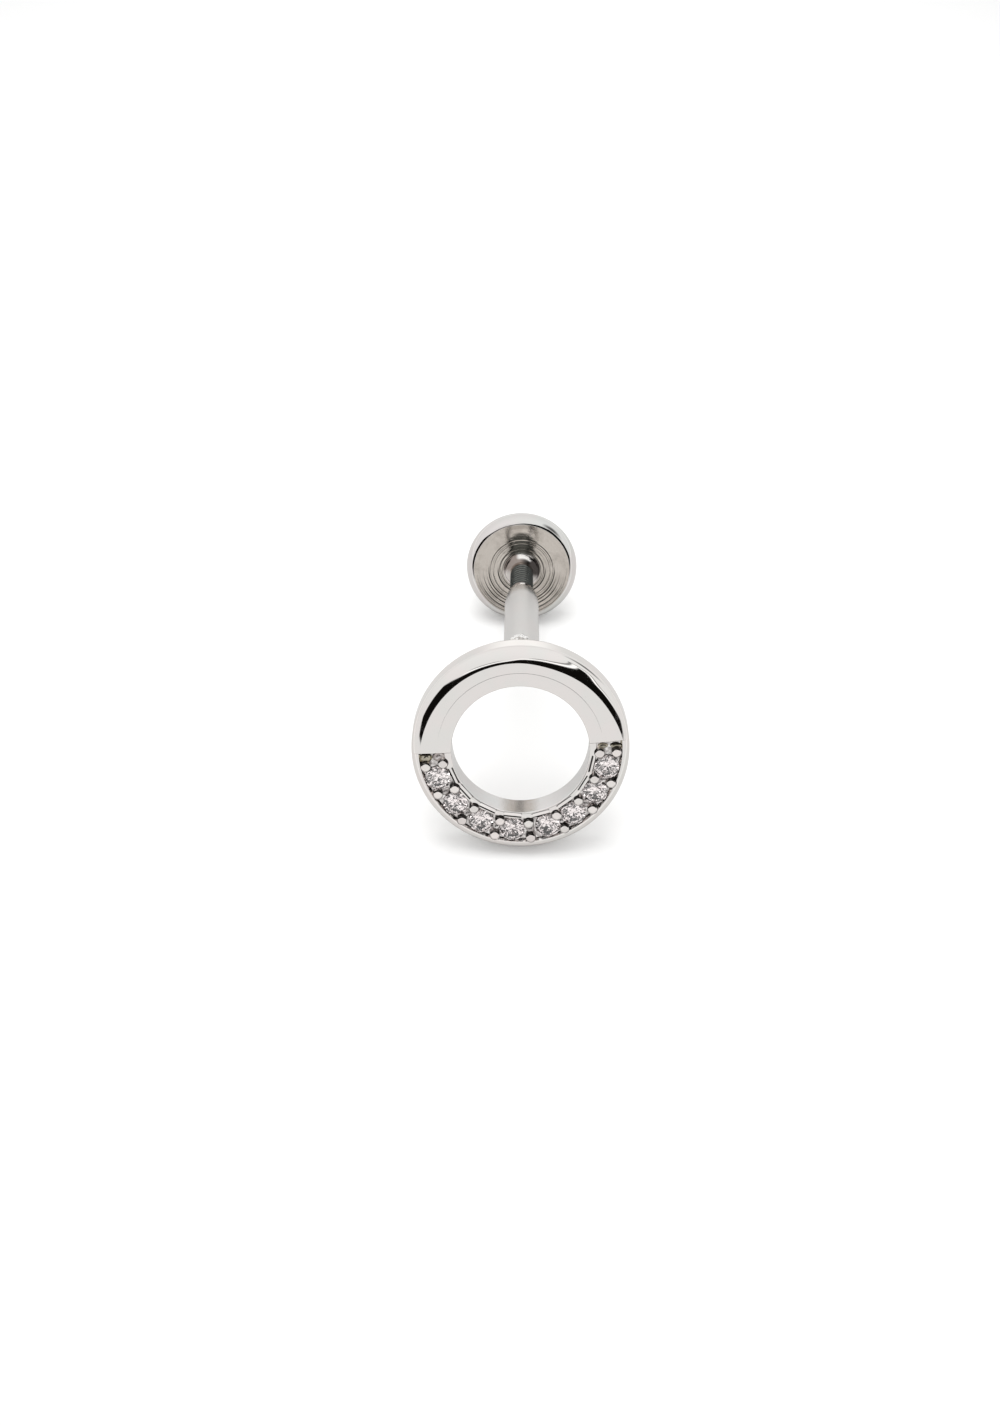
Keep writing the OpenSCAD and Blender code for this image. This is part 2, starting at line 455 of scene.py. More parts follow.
@dataclass(frozen=True)
class PolishedGold(Finish):
    """White gold polished on a wheel: nearly a mirror, with fine wheel marks and a faint drift of tint."""

    warm: Colour = (0.86, 0.82, 0.797)
    cool: Colour = (0.84, 0.822, 0.795)
    rough: float = 0.035
    rough_spread: float = 0.05
    mark_depth: float = 1.2e-7
    mark_scale: float = 9.0
    mark_length: float = 1.2

    def dress(self, graph: Graph, bench: Bench) -> bpy.types.Node:
        """Adds the polished metal.

        Args:
            graph: the new material's empty graph.
            bench: how the stud lies.

        Returns:
            The shader node.
        """
        place, height, radius, turn = bench_place(graph, bench)
        drift = graph.grain(place, 0.8, 2.0).soft_step(0.4, 0.6)
        # Wheel marks run round the circle, so they are long in angle and short across
        around = (turn + PATTERN_TURN).sine() * self.mark_length
        wheel = graph.vector(around, radius * self.mark_scale, height * self.mark_scale)
        marks = graph.grain(wheel, 4.0, 4.0, 0.6)
        haze = graph.grain(place, 2.6, 3.0).soft_step(0.45, 0.75)
        return graph.metal(
            graph.blend(drift, self.warm, self.cool),
            haze * self.rough_spread + self.rough,
            graph.bump(marks, 0.6, self.mark_depth),
        )


@dataclass(frozen=True)
class TubeGold(Finish):
    """Satin gold of the post, smoother towards its mouth, where a lighter colour is painted on as a
    highlight.
    """

    mouth_z: float = 0.0
    axis_y: float = 0.0
    satin: Colour = (0.7, 0.677, 0.662)
    cool: Colour = (0.69, 0.68, 0.665)
    # Colour of the painted highlight towards the mouth
    painted_highlight: Colour = (0.98, 0.97, 0.96)
    highlight_from: float = 0.5
    highlight_to: float = 0.25
    rough: float = 0.25
    mouth_rough: float = 0.05
    mark_scale: float = 9.0

    def dress(self, graph: Graph, bench: Bench) -> bpy.types.Node:
        """Adds the tube's metal.

        Args:
            graph: the new material's empty graph.
            bench: how the stud lies.

        Returns:
            The shader node.
        """
        place, height, _, turn = bench_place(graph, bench, self.axis_y)
        # Towards the mouth the finish turns smoother, and the colour turns lighter as a painted highlight
        uneven = height + graph.grain(place, 5.0, 2.0) * 0.1
        painted_light = 1.0 - uneven.soft_step(self.mouth_z + self.highlight_to, self.mouth_z + self.highlight_from)
        drift = graph.grain(place, 1.1, 2.0).soft_step(0.4, 0.6)
        # Marks run along the tube, so they are long in height and short round it
        around = (turn.sine() * self.mark_scale, (turn + PATTERN_TURN).sine() * self.mark_scale)
        marks = graph.grain(graph.vector(*around, height * 0.8), 4.0, 3.0)
        return graph.metal(
            graph.blend(painted_light, graph.blend(drift, self.satin, self.cool), self.painted_highlight),
            (1.0 - painted_light) * (self.rough - self.mouth_rough) + self.mouth_rough,
            graph.bump(marks, 0.5, 6.0e-8),
        )


@dataclass(frozen=True)
class CutSeatGold(Finish):
    """Freshly cut gold inside the setting: tool chatter, darker patches at random, and painted shade that
    darkens it in the depths.
    """

    light: Colour = (0.78, 0.77, 0.75)
    # Darker colour, for the random patches and for the painted shade in the depths
    tone_and_shade: Colour = (0.34, 0.315, 0.27)
    darker_share: float = 0.6
    rough: float = 0.12
    patch_scale: float = 5.0
    deep: Point = (-0.3, -0.08)

    def dress(self, graph: Graph, bench: Bench) -> bpy.types.Node:
        """Adds the cut metal.

        Args:
            graph: the new material's empty graph.
            bench: how the stud lies.

        Returns:
            The shader node.
        """
        place, height, _, _ = bench_place(graph, bench)
        patches = graph.grain(place, self.patch_scale, 4.0, 0.6).soft_step(0.35, 0.62)
        # Painted shade: the lower the surface lies, the more it takes the darker colour
        depths = 1.0 - height.soft_step(*self.deep)
        share = (patches * 0.6 + depths * 0.6).least(1.0) * self.darker_share
        chatter = graph.grain(place, 16.0, 3.0, 0.6)
        return graph.metal(
            graph.blend(share, self.light, self.tone_and_shade),
            patches * 0.12 + self.rough,
            graph.bump(chatter, 0.7, 2.5e-6),
        )


@dataclass(frozen=True)
class TurnedMetal(Finish):
    """Lathe-turned face: fine rings of uneven depth round the pin, and a slightly warm steel colour."""

    axis_y: float = 0.0
    light: Colour = (0.65, 0.6, 0.545)
    dark: Colour = (0.45, 0.41, 0.365)
    rough: float = 0.03
    ring_pitch: float = 0.032
    ring_depth: float = 2.0e-7

    def dress(self, graph: Graph, bench: Bench) -> bpy.types.Node:
        """Adds the turned metal.

        Args:
            graph: the new material's empty graph.
            bench: how the stud lies.

        Returns:
            The shader node.
        """
        place, _, radius, turn = bench_place(graph, bench, self.axis_y)
        # Uneven feed of the tool: each ring has a depth of its own
        feed = graph.grain(graph.vector(radius, 0.0, 0.0), 14.0, 3.0, 0.6)
        rings = (radius * (2 * math.pi / self.ring_pitch) + feed * 5.0).sine() * 0.5 + 0.5
        around = (turn + PATTERN_TURN).sine() * 0.8
        sweep = graph.grain(graph.vector(around, radius * 7.0, 0.0), 3.0, 3.0, 0.6)
        stain = graph.grain(place, 1.4, 3.0, 0.6, 0.4).soft_step(0.42, 0.68)
        return graph.metal(
            graph.blend(stain * 0.5 + rings * feed * 0.5, self.light, self.dark),
            feed * 0.06 + sweep * 0.05 + self.rough,
            graph.bump(rings * feed, 1.0, self.ring_depth),
        )


@dataclass(frozen=True)
class FlareMetal(Finish):
    """Foot of the pin, with a painted highlight along its top, painted light underneath, and painted brown
    shade at its sides that turns near black towards the right.
    """

    axis_y: float = 0.0
    pin_r: float = 0.42
    # Colour of the painted highlight and of the painted light underneath
    bright: Colour = (0.95, 0.92, 0.89)
    tone_and_shade: Colour = (0.34, 0.29, 0.265)
    painted_shade_right: Colour = (0.07, 0.062, 0.058)
    rough: float = 0.09
    top_turn: float = 0.2
    right_turn: float = 0.35 * math.pi

    def dress(self, graph: Graph, bench: Bench) -> bpy.types.Node:
        """Adds the flare's metal.

        Args:
            graph: the new material's empty graph.
            bench: how the stud lies.

        Returns:
            The shader node.
        """
        place, _, radius, turn = bench_place(graph, bench, self.axis_y)
        # Painted highlight along the top and painted light underneath, by the angle round the pin
        upward = (turn + self.top_turn).sine() + graph.grain(place, 9.0, 3.0) * 0.1 - 0.05
        clear_of_pin = radius.soft_step(self.pin_r + 0.01, self.pin_r + 0.09)
        painted_highlight = upward.soft_step(0.8, 0.95) * clear_of_pin
        painted_highlight = painted_highlight.most((1.0 - upward.soft_step(-0.55, 0.0)) * 0.6)
        # Painted shade at the sides, near black towards the right
        rightward = (turn + self.right_turn).sine().soft_step(0.25, 0.8)
        tone_and_shade = graph.blend(rightward, self.tone_and_shade, self.painted_shade_right)
        lines = graph.grain(graph.vector(radius * 30.0, 0.0, 0.0), 2.0, 2.0)
        return graph.metal(
            graph.blend(painted_highlight, tone_and_shade, self.bright),
            lines * 0.08 + self.rough,
            graph.bump(lines, 0.5, 1.0e-6),
        )


@dataclass(frozen=True)
class ThreadMetal(Finish):
    """Cut thread, its colour painted for the light: painted shade in the roots, crests painted lighter
    along its top, painted dark reflection at its sides, and lighter underneath.
    """

    axis_y: float = 0.0
    # The root colour is painted shade; the crest, side and underside colours are painted light and painted
    # reflection
    root: Colour = (0.012, 0.014, 0.013)
    crest: Colour = (0.19, 0.2, 0.19)
    tone_and_shade: Colour = (0.05, 0.055, 0.052)
    lit_underside: Colour = (0.5, 0.5, 0.48)
    lit_crest_from: float = 0.375
    lit_crest_to: float = 0.42
    rough: float = 0.14

    def dress(self, graph: Graph, bench: Bench) -> bpy.types.Node:
        """Adds the thread's metal.

        Args:
            graph: the new material's empty graph.
            bench: how the stud lies.

        Returns:
            The shader node.
        """
        place, height, radius, turn = bench_place(graph, bench, self.axis_y)
        # Painted light and reflection by the angle round the pin: crests lighter along the top, dark at the
        # sides, lighter underneath
        upward = turn.sine()
        painted_top_and_sides = graph.blend(upward.soft_step(0.5, 1.0), self.tone_and_shade, self.crest)
        crest = graph.blend(upward.soft_step(-0.4, 0.1), self.lit_underside, painted_top_and_sides)
        grime = graph.grain(place, 6.0, 4.0, 0.6).soft_step(0.4, 0.65)
        # Painted shade: the roots take the dark root colour, the crests the lighter one
        painted_light = radius.soft_step(self.lit_crest_from, self.lit_crest_to)
        torn = graph.grain(graph.vector(radius * 9.0, height * 9.0, 0.0), 6.0, 3.0)
        return graph.metal(
            graph.blend(painted_light * 0.9 + grime * 0.08, self.root, crest),
            grime * 0.15 + self.rough,
            graph.bump(torn, 0.5, 1.5e-7),
        )


@dataclass(frozen=True)
class SolderMetal(Finish):
    """Run solder: uneven and bright on its humps, with painted shade, near black, in the low spots of its
    bump.
    """

    light: Colour = (0.95, 0.94, 0.92)
    low_spot_shade: Colour = (0.03, 0.028, 0.026)
    rough: float = 0.12

    def dress(self, graph: Graph, bench: Bench) -> bpy.types.Node:
        """Adds the solder's metal.

        Args:
            graph: the new material's empty graph.
            bench: how the stud lies.

        Returns:
            The shader node.
        """
        place, _, _, _ = bench_place(graph, bench)
        lumps = graph.grain(place, 6.0, 4.0, 0.65, 0.3)
        # Painted shade: the low spots of the bump take the near-black colour
        painted_shade_mask = 1.0 - lumps.soft_step(0.34, 0.42)
        return graph.metal(
            graph.blend(painted_shade_mask, self.light, self.low_spot_shade),
            painted_shade_mask * 0.3 + self.rough,
            graph.bump(lumps, 0.9, 1.2e-5),
        )


@dataclass(frozen=True)
class CutStone(Finish):
    """Near-colourless stone with a faint lilac cast and a trace of cloud."""

    clear: Colour = (0.92, 0.86, 0.845)
    cloudy: Colour = (0.74, 0.66, 0.65)
    rough: float = 0.02
    ior: float = 2.1

    def dress(self, graph: Graph, bench: Bench) -> bpy.types.Node:
        """Adds the stone.

        Args:
            graph: the new material's empty graph.
            bench: how the stud lies.

        Returns:
            The shader node.
        """
        place, _, _, _ = bench_place(graph, bench)
        cloud = graph.grain(place, 3.5, 3.0, 0.6).soft_step(0.4, 0.7)
        inputs = {
            "Base Color": graph.blend(cloud, self.clear, self.cloudy),
            "Roughness": cloud * self.rough,
            "IOR": self.ior,
            "Transmission Weight": 1.0,
        }
        return graph.node("ShaderNodeBsdfPrincipled", {}, inputs)


@dataclass(frozen=True)
class PaleFloor(Finish):
    """White studio sheet, a little greyer towards the front and the back: a painted pool of light round the
    stud.
    """

    near: Colour = (0.97, 0.97, 0.965)
    far: Colour = (0.72, 0.72, 0.72)
    mirrored_near: Colour = (0.61, 0.605, 0.6)
    mirrored_far: Colour = (0.9, 0.9, 0.89)
    middle: float = 7.0
    clear: float = 16.0
    reach: float = 60.0

    def dress(self, graph: Graph, bench: Bench) -> bpy.types.Node:
        """Adds the floor's matt surface.

        Args:
            graph: the new material's empty graph.
            bench: how the stud lies; not used here.

        Returns:
            The shader node.
        """
        place = graph.wire("ShaderNodeTexCoord", output="Object")
        x, y, _ = place.parts()
        # The sheet greys with distance from the stud, a painted pool of light
        ahead = y / MM - self.middle
        away = ((x * x) / (MM * MM) + ahead * ahead) ** 0.5
        away = away.soft_step(self.clear, self.reach)
        fibre = graph.grain(place, 900.0, 3.0)
        # Painted shade: the stud's mirror-bright metal sees the sheet a little greyer than the eye does,
        # and greyest near the stud
        mirrored = graph.wire("ShaderNodeLightPath", output="Is Glossy Ray")
        plain = graph.blend(away, self.near, self.far)
        seen = graph.blend(away, self.mirrored_near, self.mirrored_far)
        inputs = {
            "Base Color": graph.blend(mirrored, plain, seen),
            "Roughness": fibre * 0.1 + 0.75,
            "Specular IOR Level": 0.1,
            "Normal": graph.bump(fibre, 0.1, 2.0e-6),
        }
        return graph.node("ShaderNodeBsdfPrincipled", {}, inputs)


def ball(steps: int, gap: float) -> list[Point]:
    """Profile of a ball of radius 1, which stops a small angle short of both poles."""
    return [(math.sin(t), math.cos(t)) for t in np.linspace(gap, math.pi - gap, steps)]


@dataclass
class Shell:
    """A closed skin in bench millimetres: its points and faces."""

    points: np.ndarray
    faces: list[tuple[int, ...]]

    @classmethod
    def lofted(cls, rings: np.ndarray, looped: bool = False) -> Shell:
        """Skins a row of closed rings that all have the same number of points.

        Args:
            rings: array of shape (rings, points, 3).
            looped: True joins the last ring to the first, False closes both ends with a flat face.

        Returns:
            The closed shell, with its faces turned outwards.
        """
        count, size, _ = rings.shape
        grid = np.arange(count * size).reshape(count, size)
        after = np.roll(grid, -1, axis=1)
        rows = range(count if looped else count - 1)
        faces = []
        for row in rows:
            beyond = (row + 1) % count
            quads = np.stack([grid[row], after[row], after[beyond], grid[beyond]], axis=1)
            faces.extend(map(tuple, quads.tolist()))
        if not looped:
            faces.append(tuple(grid[0][::-1].tolist()))
            faces.append(tuple(grid[-1].tolist()))
        shell = cls(rings.reshape(-1, 3), faces)
        if shell.volume() < 0:
            shell.faces = [face[::-1] for face in faces]
        return shell

    @classmethod
    def turned(cls, profile: Sequence[Point], centre: Point, steps: int, top: float = 0.0) -> Shell:
        """Turns a profile round an axis along the bench's Z.

        Args:
            profile: pairs of radius and height, from one closed end to the other.
            centre: where the axis stands in X and Y.
            steps: number of steps round.
            top: height that the profile's heights are counted from.

        Returns:
            The closed shell.
        """
        turns = np.linspace(0.0, 2 * math.pi, steps, endpoint=False)
        radii, heights = np.array(profile).T
        rings = np.empty((len(radii), steps, 3))
        rings[:, :, 0] = centre[0] + radii[:, None] * np.cos(turns)
        rings[:, :, 1] = centre[1] + radii[:, None] * np.sin(turns)
        rings[:, :, 2] = top + heights[:, None]
        return cls.lofted(rings)

    def volume(self) -> float:
        """Finds the volume inside the shell.

        Returns:
            The volume in cubic millimetres, negative where the faces are turned inwards.
        """
        total = 0.0
        for face in self.faces:
            first = self.points[face[0]]
            for one, two in zip(face[1:-1], face[2:], strict=True):
                total += float(np.dot(first, np.cross(self.points[one], self.points[two])))
        return total / 6


@dataclass
class Workshop:
    """Turns shells into finished pieces that ride on the part's bodies."""

    sizes: StudSizes
    bench: Bench
    made: list[str] = field(default_factory=list)

    def rough_out(self, name: str, shells: Iterable[Shell], finish: Finish) -> bpy.types.Object:
        """Makes one object, still in bench millimetres, from closed shells.

        Args:
            name: the piece's name.
            shells: its closed shells.
            finish: its material.

        Returns:
            The new object.
        """
        points: list[np.ndarray] = []
        faces: list[tuple[int, ...]] = []
        start = 0
        for shell in shells:
            points.append(shell.points)
            faces.extend(tuple(i + start for i in face) for face in shell.faces)
            start += len(shell.points)
        mesh = bpy.data.meshes.new(name)
        mesh.from_pydata(np.concatenate(points).tolist(), [], faces)
        mesh.materials.append(finish.material(self.bench))
        mesh.update()
        piece = bpy.data.objects.new(name, mesh)
        bpy.context.scene.collection.objects.link(piece)
        return piece

    @staticmethod
    def carve(blank: bpy.types.Object, tools: Sequence[bpy.types.Object]) -> None:
        """Cuts the tools out of the blank one after the other. The cuts keep the tools' finishes.

        Args:
            blank: the object that is cut. Its mesh is replaced.
            tools: closed objects, which are removed afterwards.
        """
        for tool in tools:
            cut = blank.modifiers.new("cut", "BOOLEAN")
            cut.operation = "DIFFERENCE"
            cut.solver = "EXACT"
            cut.material_mode = "TRANSFER"
            cut.object = tool
        bpy.context.view_layer.update()
        seen = blank.evaluated_get(bpy.context.evaluated_depsgraph_get())
        mesh = bpy.data.meshes.new_from_object(seen)
        if not mesh.polygons:
            raise RuntimeError(f"nothing is left of {blank.name} after its cuts")
        blank.modifiers.clear()
        blank.data = mesh
        for tool in tools:
            bpy.data.objects.remove(tool, do_unlink=True)

    def refinish(
        self, piece: bpy.types.Object, finish: Finish, chosen: Callable[[Vector, Vector], bool]
    ) -> None:
        """Gives some faces of a piece another finish.

        Args:
            piece: object in bench millimetres.
            finish: the other finish.
            chosen: says from a face's centre and normal whether it takes that finish.
        """
        piece.data.materials.append(finish.material(self.bench))
        index = len(piece.data.materials) - 1
        for face in piece.data.polygons:
            if chosen(face.center, face.normal):
                face.material_index = index

    def lay_out(
        self, piece: bpy.types.Object, body: Body, slot: Slot, nodes: Sequence[str], sharp: float = 32.0
    ) -> None:
        """Lays a finished piece down in the row frame and hangs it on its body.

        Args:
            piece: object in bench millimetres.
            body: the body that it rides on.
            slot: a material slot of the record; not used.
            nodes: the frame's nodes that it stands for.
            sharp: edges that turn more than this, in degrees, stay crisp.
        """
        mesh = piece.data
        flat = np.empty(len(mesh.vertices) * 3)
        mesh.vertices.foreach_get("co", flat)
        mesh.vertices.foreach_set("co", self.bench.lay_down(flat.reshape(-1, 3)).ravel())
        mesh.shade_smooth()
        mesh.set_sharp_from_angle(angle=math.radians(sharp))
        mesh.update()
        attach(piece, body.value)
        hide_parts(*nodes)
        triangles = sum(len(p.vertices) - 2 for p in mesh.polygons)
        LOG.info("%s: %d triangles on %s", piece.name, triangles, body.value)
        self.made.append(piece.name)


def smooth_curve(table: Sequence[Point], at: float) -> float:
    """Reads a table of places and values along a smooth curve through its points.

    Args:
        table: pairs of place and value, in rising order.
        at: the place that is asked for.

    Returns:
        The value there.
    """
    places, values = np.array(table).T
    slopes = np.gradient(values, places)
    i = int(np.clip(np.searchsorted(places, at) - 1, 0, len(places) - 2))
    step = places[i + 1] - places[i]
    t = min(max((at - places[i]) / step, 0.0), 1.0)
    start = (1 + 2 * t) * (1 - t) ** 2 * values[i] + t * (1 - t) ** 2 * step * slopes[i]
    return float(start + t * t * (3 - 2 * t) * values[i + 1] - t * t * (1 - t) * step * slopes[i + 1])


@dataclass
class OpenCircle:
    """The open circle: its polished half, its half cut down for the stones, and the holding beads."""

    shop: Workshop
    # Angle, and radius where the flat face ends in a crisp edge. Wheel work isn't quite concentric.
    face_edge: tuple[Point, ...] = (
        (7.0, 3.46), (14.0, 3.395), (24.0, 3.315), (45.0, 3.22), (74.0, 3.13),
        (91.0, 3.16), (112.0, 3.17), (140.0, 3.205), (165.0, 3.28), (183.0, 3.37),
    )
    edge_slope: float = 5.0
    polished_steps: int = 421
    set_steps: int = 369
    crease_r: float = 2.8
    crease_drop: float = 0.0006
    crease_w: float = 0.005
    dome_drop: float = 0.002
    hole_edge_r: float = 0.045
    step_edge_r: float = 0.02
    inner_wall_r: float = 2.56
    outer_wall_r: float = 3.35
    outer_wall_w: float = 0.08
    floor_band: Point = (-0.2, -0.05)
    wall_edge_r: float = 0.02
    seat_gap: float = 0.013
    seat_slip: float = 0.006
    seat_floor: float = 0.46
    tool_top: float = 0.3
    # Holding beads as raised by hand: radius on the circle and angle, left to right
    inner_beads: tuple[Point, ...] = (
        (2.66, 191.1), (2.64, 213.3), (2.67, 234.6), (2.71, 256.0), (2.73, 276.6),
        (2.71, 297.8), (2.72, 317.2), (2.71, 338.1), (2.67, 358.9),
    )
    outer_beads: tuple[Point, ...] = (
        (3.25, 191.5), (3.24, 211.0), (3.28, 233.4), (3.28, 255.2), (3.28, 277.0),
        (3.28, 298.0), (3.28, 319.0), (3.29, 339.2), (3.24, 359.7),
    )
    bead_top: float = 0.08
    bead_flat: float = 0.62
    bead_fall: float = 0.1
    bead_edge_r: float = 0.022
    bead_shade_z: float = -0.045
    bead_level: float = 0.97
    punch_ring: float = 0.012
    punch_lift: float = 0.02
    punch_depth: float = 0.13
    punch_bevel: float = 0.02
    scoop_turn: float = 3.3
    scoop_size: tuple[float, float, float] = (0.235, 0.2, 0.2)
    scoop_inset: Point = (0.215, 0.155)
    scoop_z: float = -0.03
    graver_size: tuple[float, float, float] = (0.17, 0.14, 0.08)
    # Straight bright cuts beside the stones: distance of the cut from the centre, and its angle
    bright_cuts: tuple[Point, ...] = (
        (2.40, 203.5), (2.36, 220.4), (2.37, 243.3), (2.37, 264.4),
        (2.42, 287.2), (2.42, 308.6), (2.45, 331.0), (2.44, 349.0),
    )
    bright_cut_w: float = 0.58
    bright_cut_depth: float = 0.055
    bright_cut_slope: float = 33.0
    score_w: float = 0.048
    polish: PolishedGold = PolishedGold("wheel_polished_gold")
    bead_polish: PolishedGold = PolishedGold(
        "burnished_bead_gold", (0.82, 0.765, 0.745), (0.8, 0.77, 0.745), rough=0.05, mark_depth=3.0e-7
    )
    honed: PolishedGold = PolishedGold(
        "honed_opening_gold", (0.9, 0.88, 0.87), (0.88, 0.885, 0.875), 0.2, 0.03, mark_depth=5.0e-8
    )
    bright: PolishedGold = PolishedGold("bright_cut_gold", rough=0.02, rough_spread=0.02)
    seat: CutSeatGold = CutSeatGold("cut_seat_gold", (0.84, 0.79, 0.77), (0.3, 0.265, 0.26))
    scoop: CutSeatGold = CutSeatGold("scooped_gold", (0.62, 0.58, 0.48), (0.2, 0.18, 0.13), rough=0.04)
    # Painted shade: a darker copy of the scooped gold, for the dents at the right end
    dark_scoop: CutSeatGold = CutSeatGold(
        "dark_scooped_gold", (0.52, 0.48, 0.39), (0.1, 0.088, 0.07), darker_share=0.8, rough=0.05
    )
    # Nearly black gold, painted shade for the scored lines and for the beads' sides just under their tops
    shade: CutSeatGold = CutSeatGold(
        "graver_shade", (0.05, 0.045, 0.042), (0.012, 0.011, 0.01), rough=0.3
    )
    cut_floor: CutSeatGold = CutSeatGold(
        "cut_floor_gold", (0.97, 0.94, 0.92), (0.36, 0.32, 0.31), 0.9, rough=0.2, patch_scale=8.0
    )

    @property
    def sizes(self) -> StudSizes:
        """The stud's driving sizes."""
        return self.shop.sizes

    def _opening(self) -> list[Point]:
        """Section of the opening's wall, with both its edges lightly rounded.

        Returns:
            Pairs of radius and height, from the back to the front.
        """
        s, c = self.sizes, self.hole_edge_r
        back = arc((s.hole_r + c, c - s.hoop_t), c, 270, 180, 5)
        wall = between((s.hole_r, c + 0.01 - s.hoop_t), (s.hole_r, -c - 0.01), 6)
        return back + wall + arc((s.hole_r + c, -c), c, 180, 90, 7)

    def _rear(self, top: float) -> list[Point]:
        """Section of the outer side, the rear rim and the back.

        Args:
            top: height where the outer side starts.

        Returns:
            Pairs of radius and height, from the front to the back.
        """
        s, rim = self.sizes, self.sizes.rim_r
        side = between((s.hoop_r, top), (s.hoop_r, rim + 0.01 - s.hoop_t), 5)
        rear = arc((s.hoop_r - rim, rim - s.hoop_t), rim, 0, -90, 14)
        flat_in, flat_out = s.hole_r + self.hole_edge_r + 0.01, s.hoop_r - rim - 0.01
        return side + rear + between((flat_out, -s.hoop_t), (flat_in, -s.hoop_t), 6)

    def polished_section(self, degrees: float) -> list[Point]:
        """Section of the polished half at an angle: flat land, faint crease, crisp edge and shoulder.

        Args:
            degrees: angle on the circle.

        Returns:
            Closed outline as pairs of radius and height.
        """
        s = self.sizes
        long_r, tight_r = s.shoulder_r, s.front_rim_r
        first = math.radians(self.edge_slope)
        edge = smooth_curve(self.face_edge, degrees)
        low = -self.crease_drop - self.dome_drop
        meet = math.asin((s.hoop_r - tight_r - edge + long_r * math.sin(first)) / (long_r - tight_r))
        centre = (edge - long_r * math.sin(first), low - long_r * math.cos(first))
        tight = (s.hoop_r - tight_r, centre[1] + (long_r - tight_r) * math.cos(meet))
        half = self.crease_w / 2
        land = between((s.hole_r + self.hole_edge_r + 0.01, 0.0), (self.crease_r - half - 0.01, 0.0), 5)
        crease = between((self.crease_r - half, 0.0), (self.crease_r + half, -self.crease_drop), 3)
        dome = between((self.crease_r + half + 0.01, -self.crease_drop), (edge - 0.006, low), 6)
        soft = arc(centre, long_r, 90 - self.edge_slope, 90 - math.degrees(meet), 16)
        round_off = arc(tight, tight_r, 90 - math.degrees(meet) - 2, 0, 14)
        return self._opening() + land + crease + dome + soft + round_off + self._rear(tight[1] - 0.01)

    def set_section(self) -> list[Point]:
        """Section of the set half: thin inner wall, cut floor, and the outer wall with its round rim.

        Returns:
            Closed outline as pairs of radius and height.
        """
        s, c = self.sizes, self.wall_edge_r
        floor = -s.floor_cut
        inner = arc((self.inner_wall_r - c, -c), c, 90, 0, 5)
        base = between((self.inner_wall_r, floor), (self.outer_wall_r, floor), 6)
        outer = [(self.outer_wall_r + self.outer_wall_w, 0.0)]
        rim = arc((s.hoop_r - s.rim_r, -s.rim_r), s.rim_r, 90, 0, 14)
        return self._opening() + inner + base + outer + rim + self._rear(-s.rim_r - 0.01)

    @staticmethod
    def _swept(sections: Iterable[tuple[float, Sequence[Point]]]) -> Shell:
        """Skins sections that stand at angles round the circle."""
        rings = [[polar(r, degrees, z) for r, z in section] for degrees, section in sections]
        return Shell.lofted(np.array(rings))

    def polished_half(self) -> None:
        """Builds the polished half, with a light bevel where it drops to the setting at both ends."""
        s = self.sizes
        start, stop = s.setting_stop - 360, s.setting_start
        bevel = math.degrees(self.step_edge_r / s.stone_ring_r)
        inside = np.linspace(start + bevel, stop - bevel, self.polished_steps)
        sections = [(degrees, self.polished_section(degrees)) for degrees in inside]
        for tilt in (30.0, 60.0, 90.0):
            sink = self.step_edge_r * (1 - math.cos(math.radians(tilt)))
            reach = bevel * (1 - math.sin(math.radians(tilt)))
            ends = [
                (place, [(r, min(z, -sink)) for r, z in self.polished_section(place)])
                for place in (start + reach, stop - reach)
            ]
            sections = [ends[0], *sections, ends[1]]
        piece = self.shop.rough_out("polished_half", [self._swept(sections)], self.polish)
        self.shop.refinish(piece, self.honed, self._in_opening)
        self.shop.lay_out(piece, Body.ROOT, Slot.POLISHED, ["hoop_and_post"])

    def _in_opening(self, centre: Vector, normal: Vector) -> bool:
        """True for faces of the opening's wall."""
        return math.hypot(centre.x, centre.y) < self.sizes.hole_r + 0.01 and abs(normal.z) < 0.5

    def _on_cut_floor(self, centre: Vector, normal: Vector) -> bool:
        """True for faces of the sunk floor between the two walls of the setting."""
        level = self.floor_band[0] < centre.z < self.floor_band[1] and normal.z > 0.5
        return level and math.hypot(centre.x, centre.y) < self.outer_wall_r

    def _seats(self) -> list[Shell]:
        """Shapes the seats for the stones, each a cone under a short straight wall, none quite centred.

        Returns:
            The space that each seat takes.
        """
        s = self.sizes
        r = s.stone_d / 2 + self.seat_gap
        shoulder = s.girdle_z - s.girdle_h * s.stone_d - 0.01
        foot = s.girdle_z - self.seat_floor * s.stone_d - self.seat_gap
        profile = [(CORE_R, foot), (r, shoulder), (r, self.tool_top), (CORE_R, self.tool_top)]
        hands = random.Random(3)
        shells = []
        for i in range(len(s.slips)):
            c = polar(s.stone_ring_r, s.stone_angle(i)) + polar(self.seat_slip, hands.uniform(0, 360))
            shells.append(Shell.turned(profile, (c[0], c[1]), 72))
        return shells

    @staticmethod
    def _dent(radius: float, degrees: float, size: Sequence[float], height: float) -> Shell:
        """Shapes an egg-shaped dent.

        Args:
            radius: distance of its middle from the circle's centre.
            degrees: its angle on the circle.
            size: its half sizes along the radius, along the circle and in depth.
            height: height of its middle.

        Returns:
            The dent as a closed shell.
        """
        shell = Shell.turned(ball(18, 0.06), (0.0, 0.0), 40)
        turn = np.array(Matrix.Rotation(math.radians(degrees), 3, "Z"))
        shell.points = (shell.points * size) @ turn.T + polar(radius, degrees, height)
        return shell

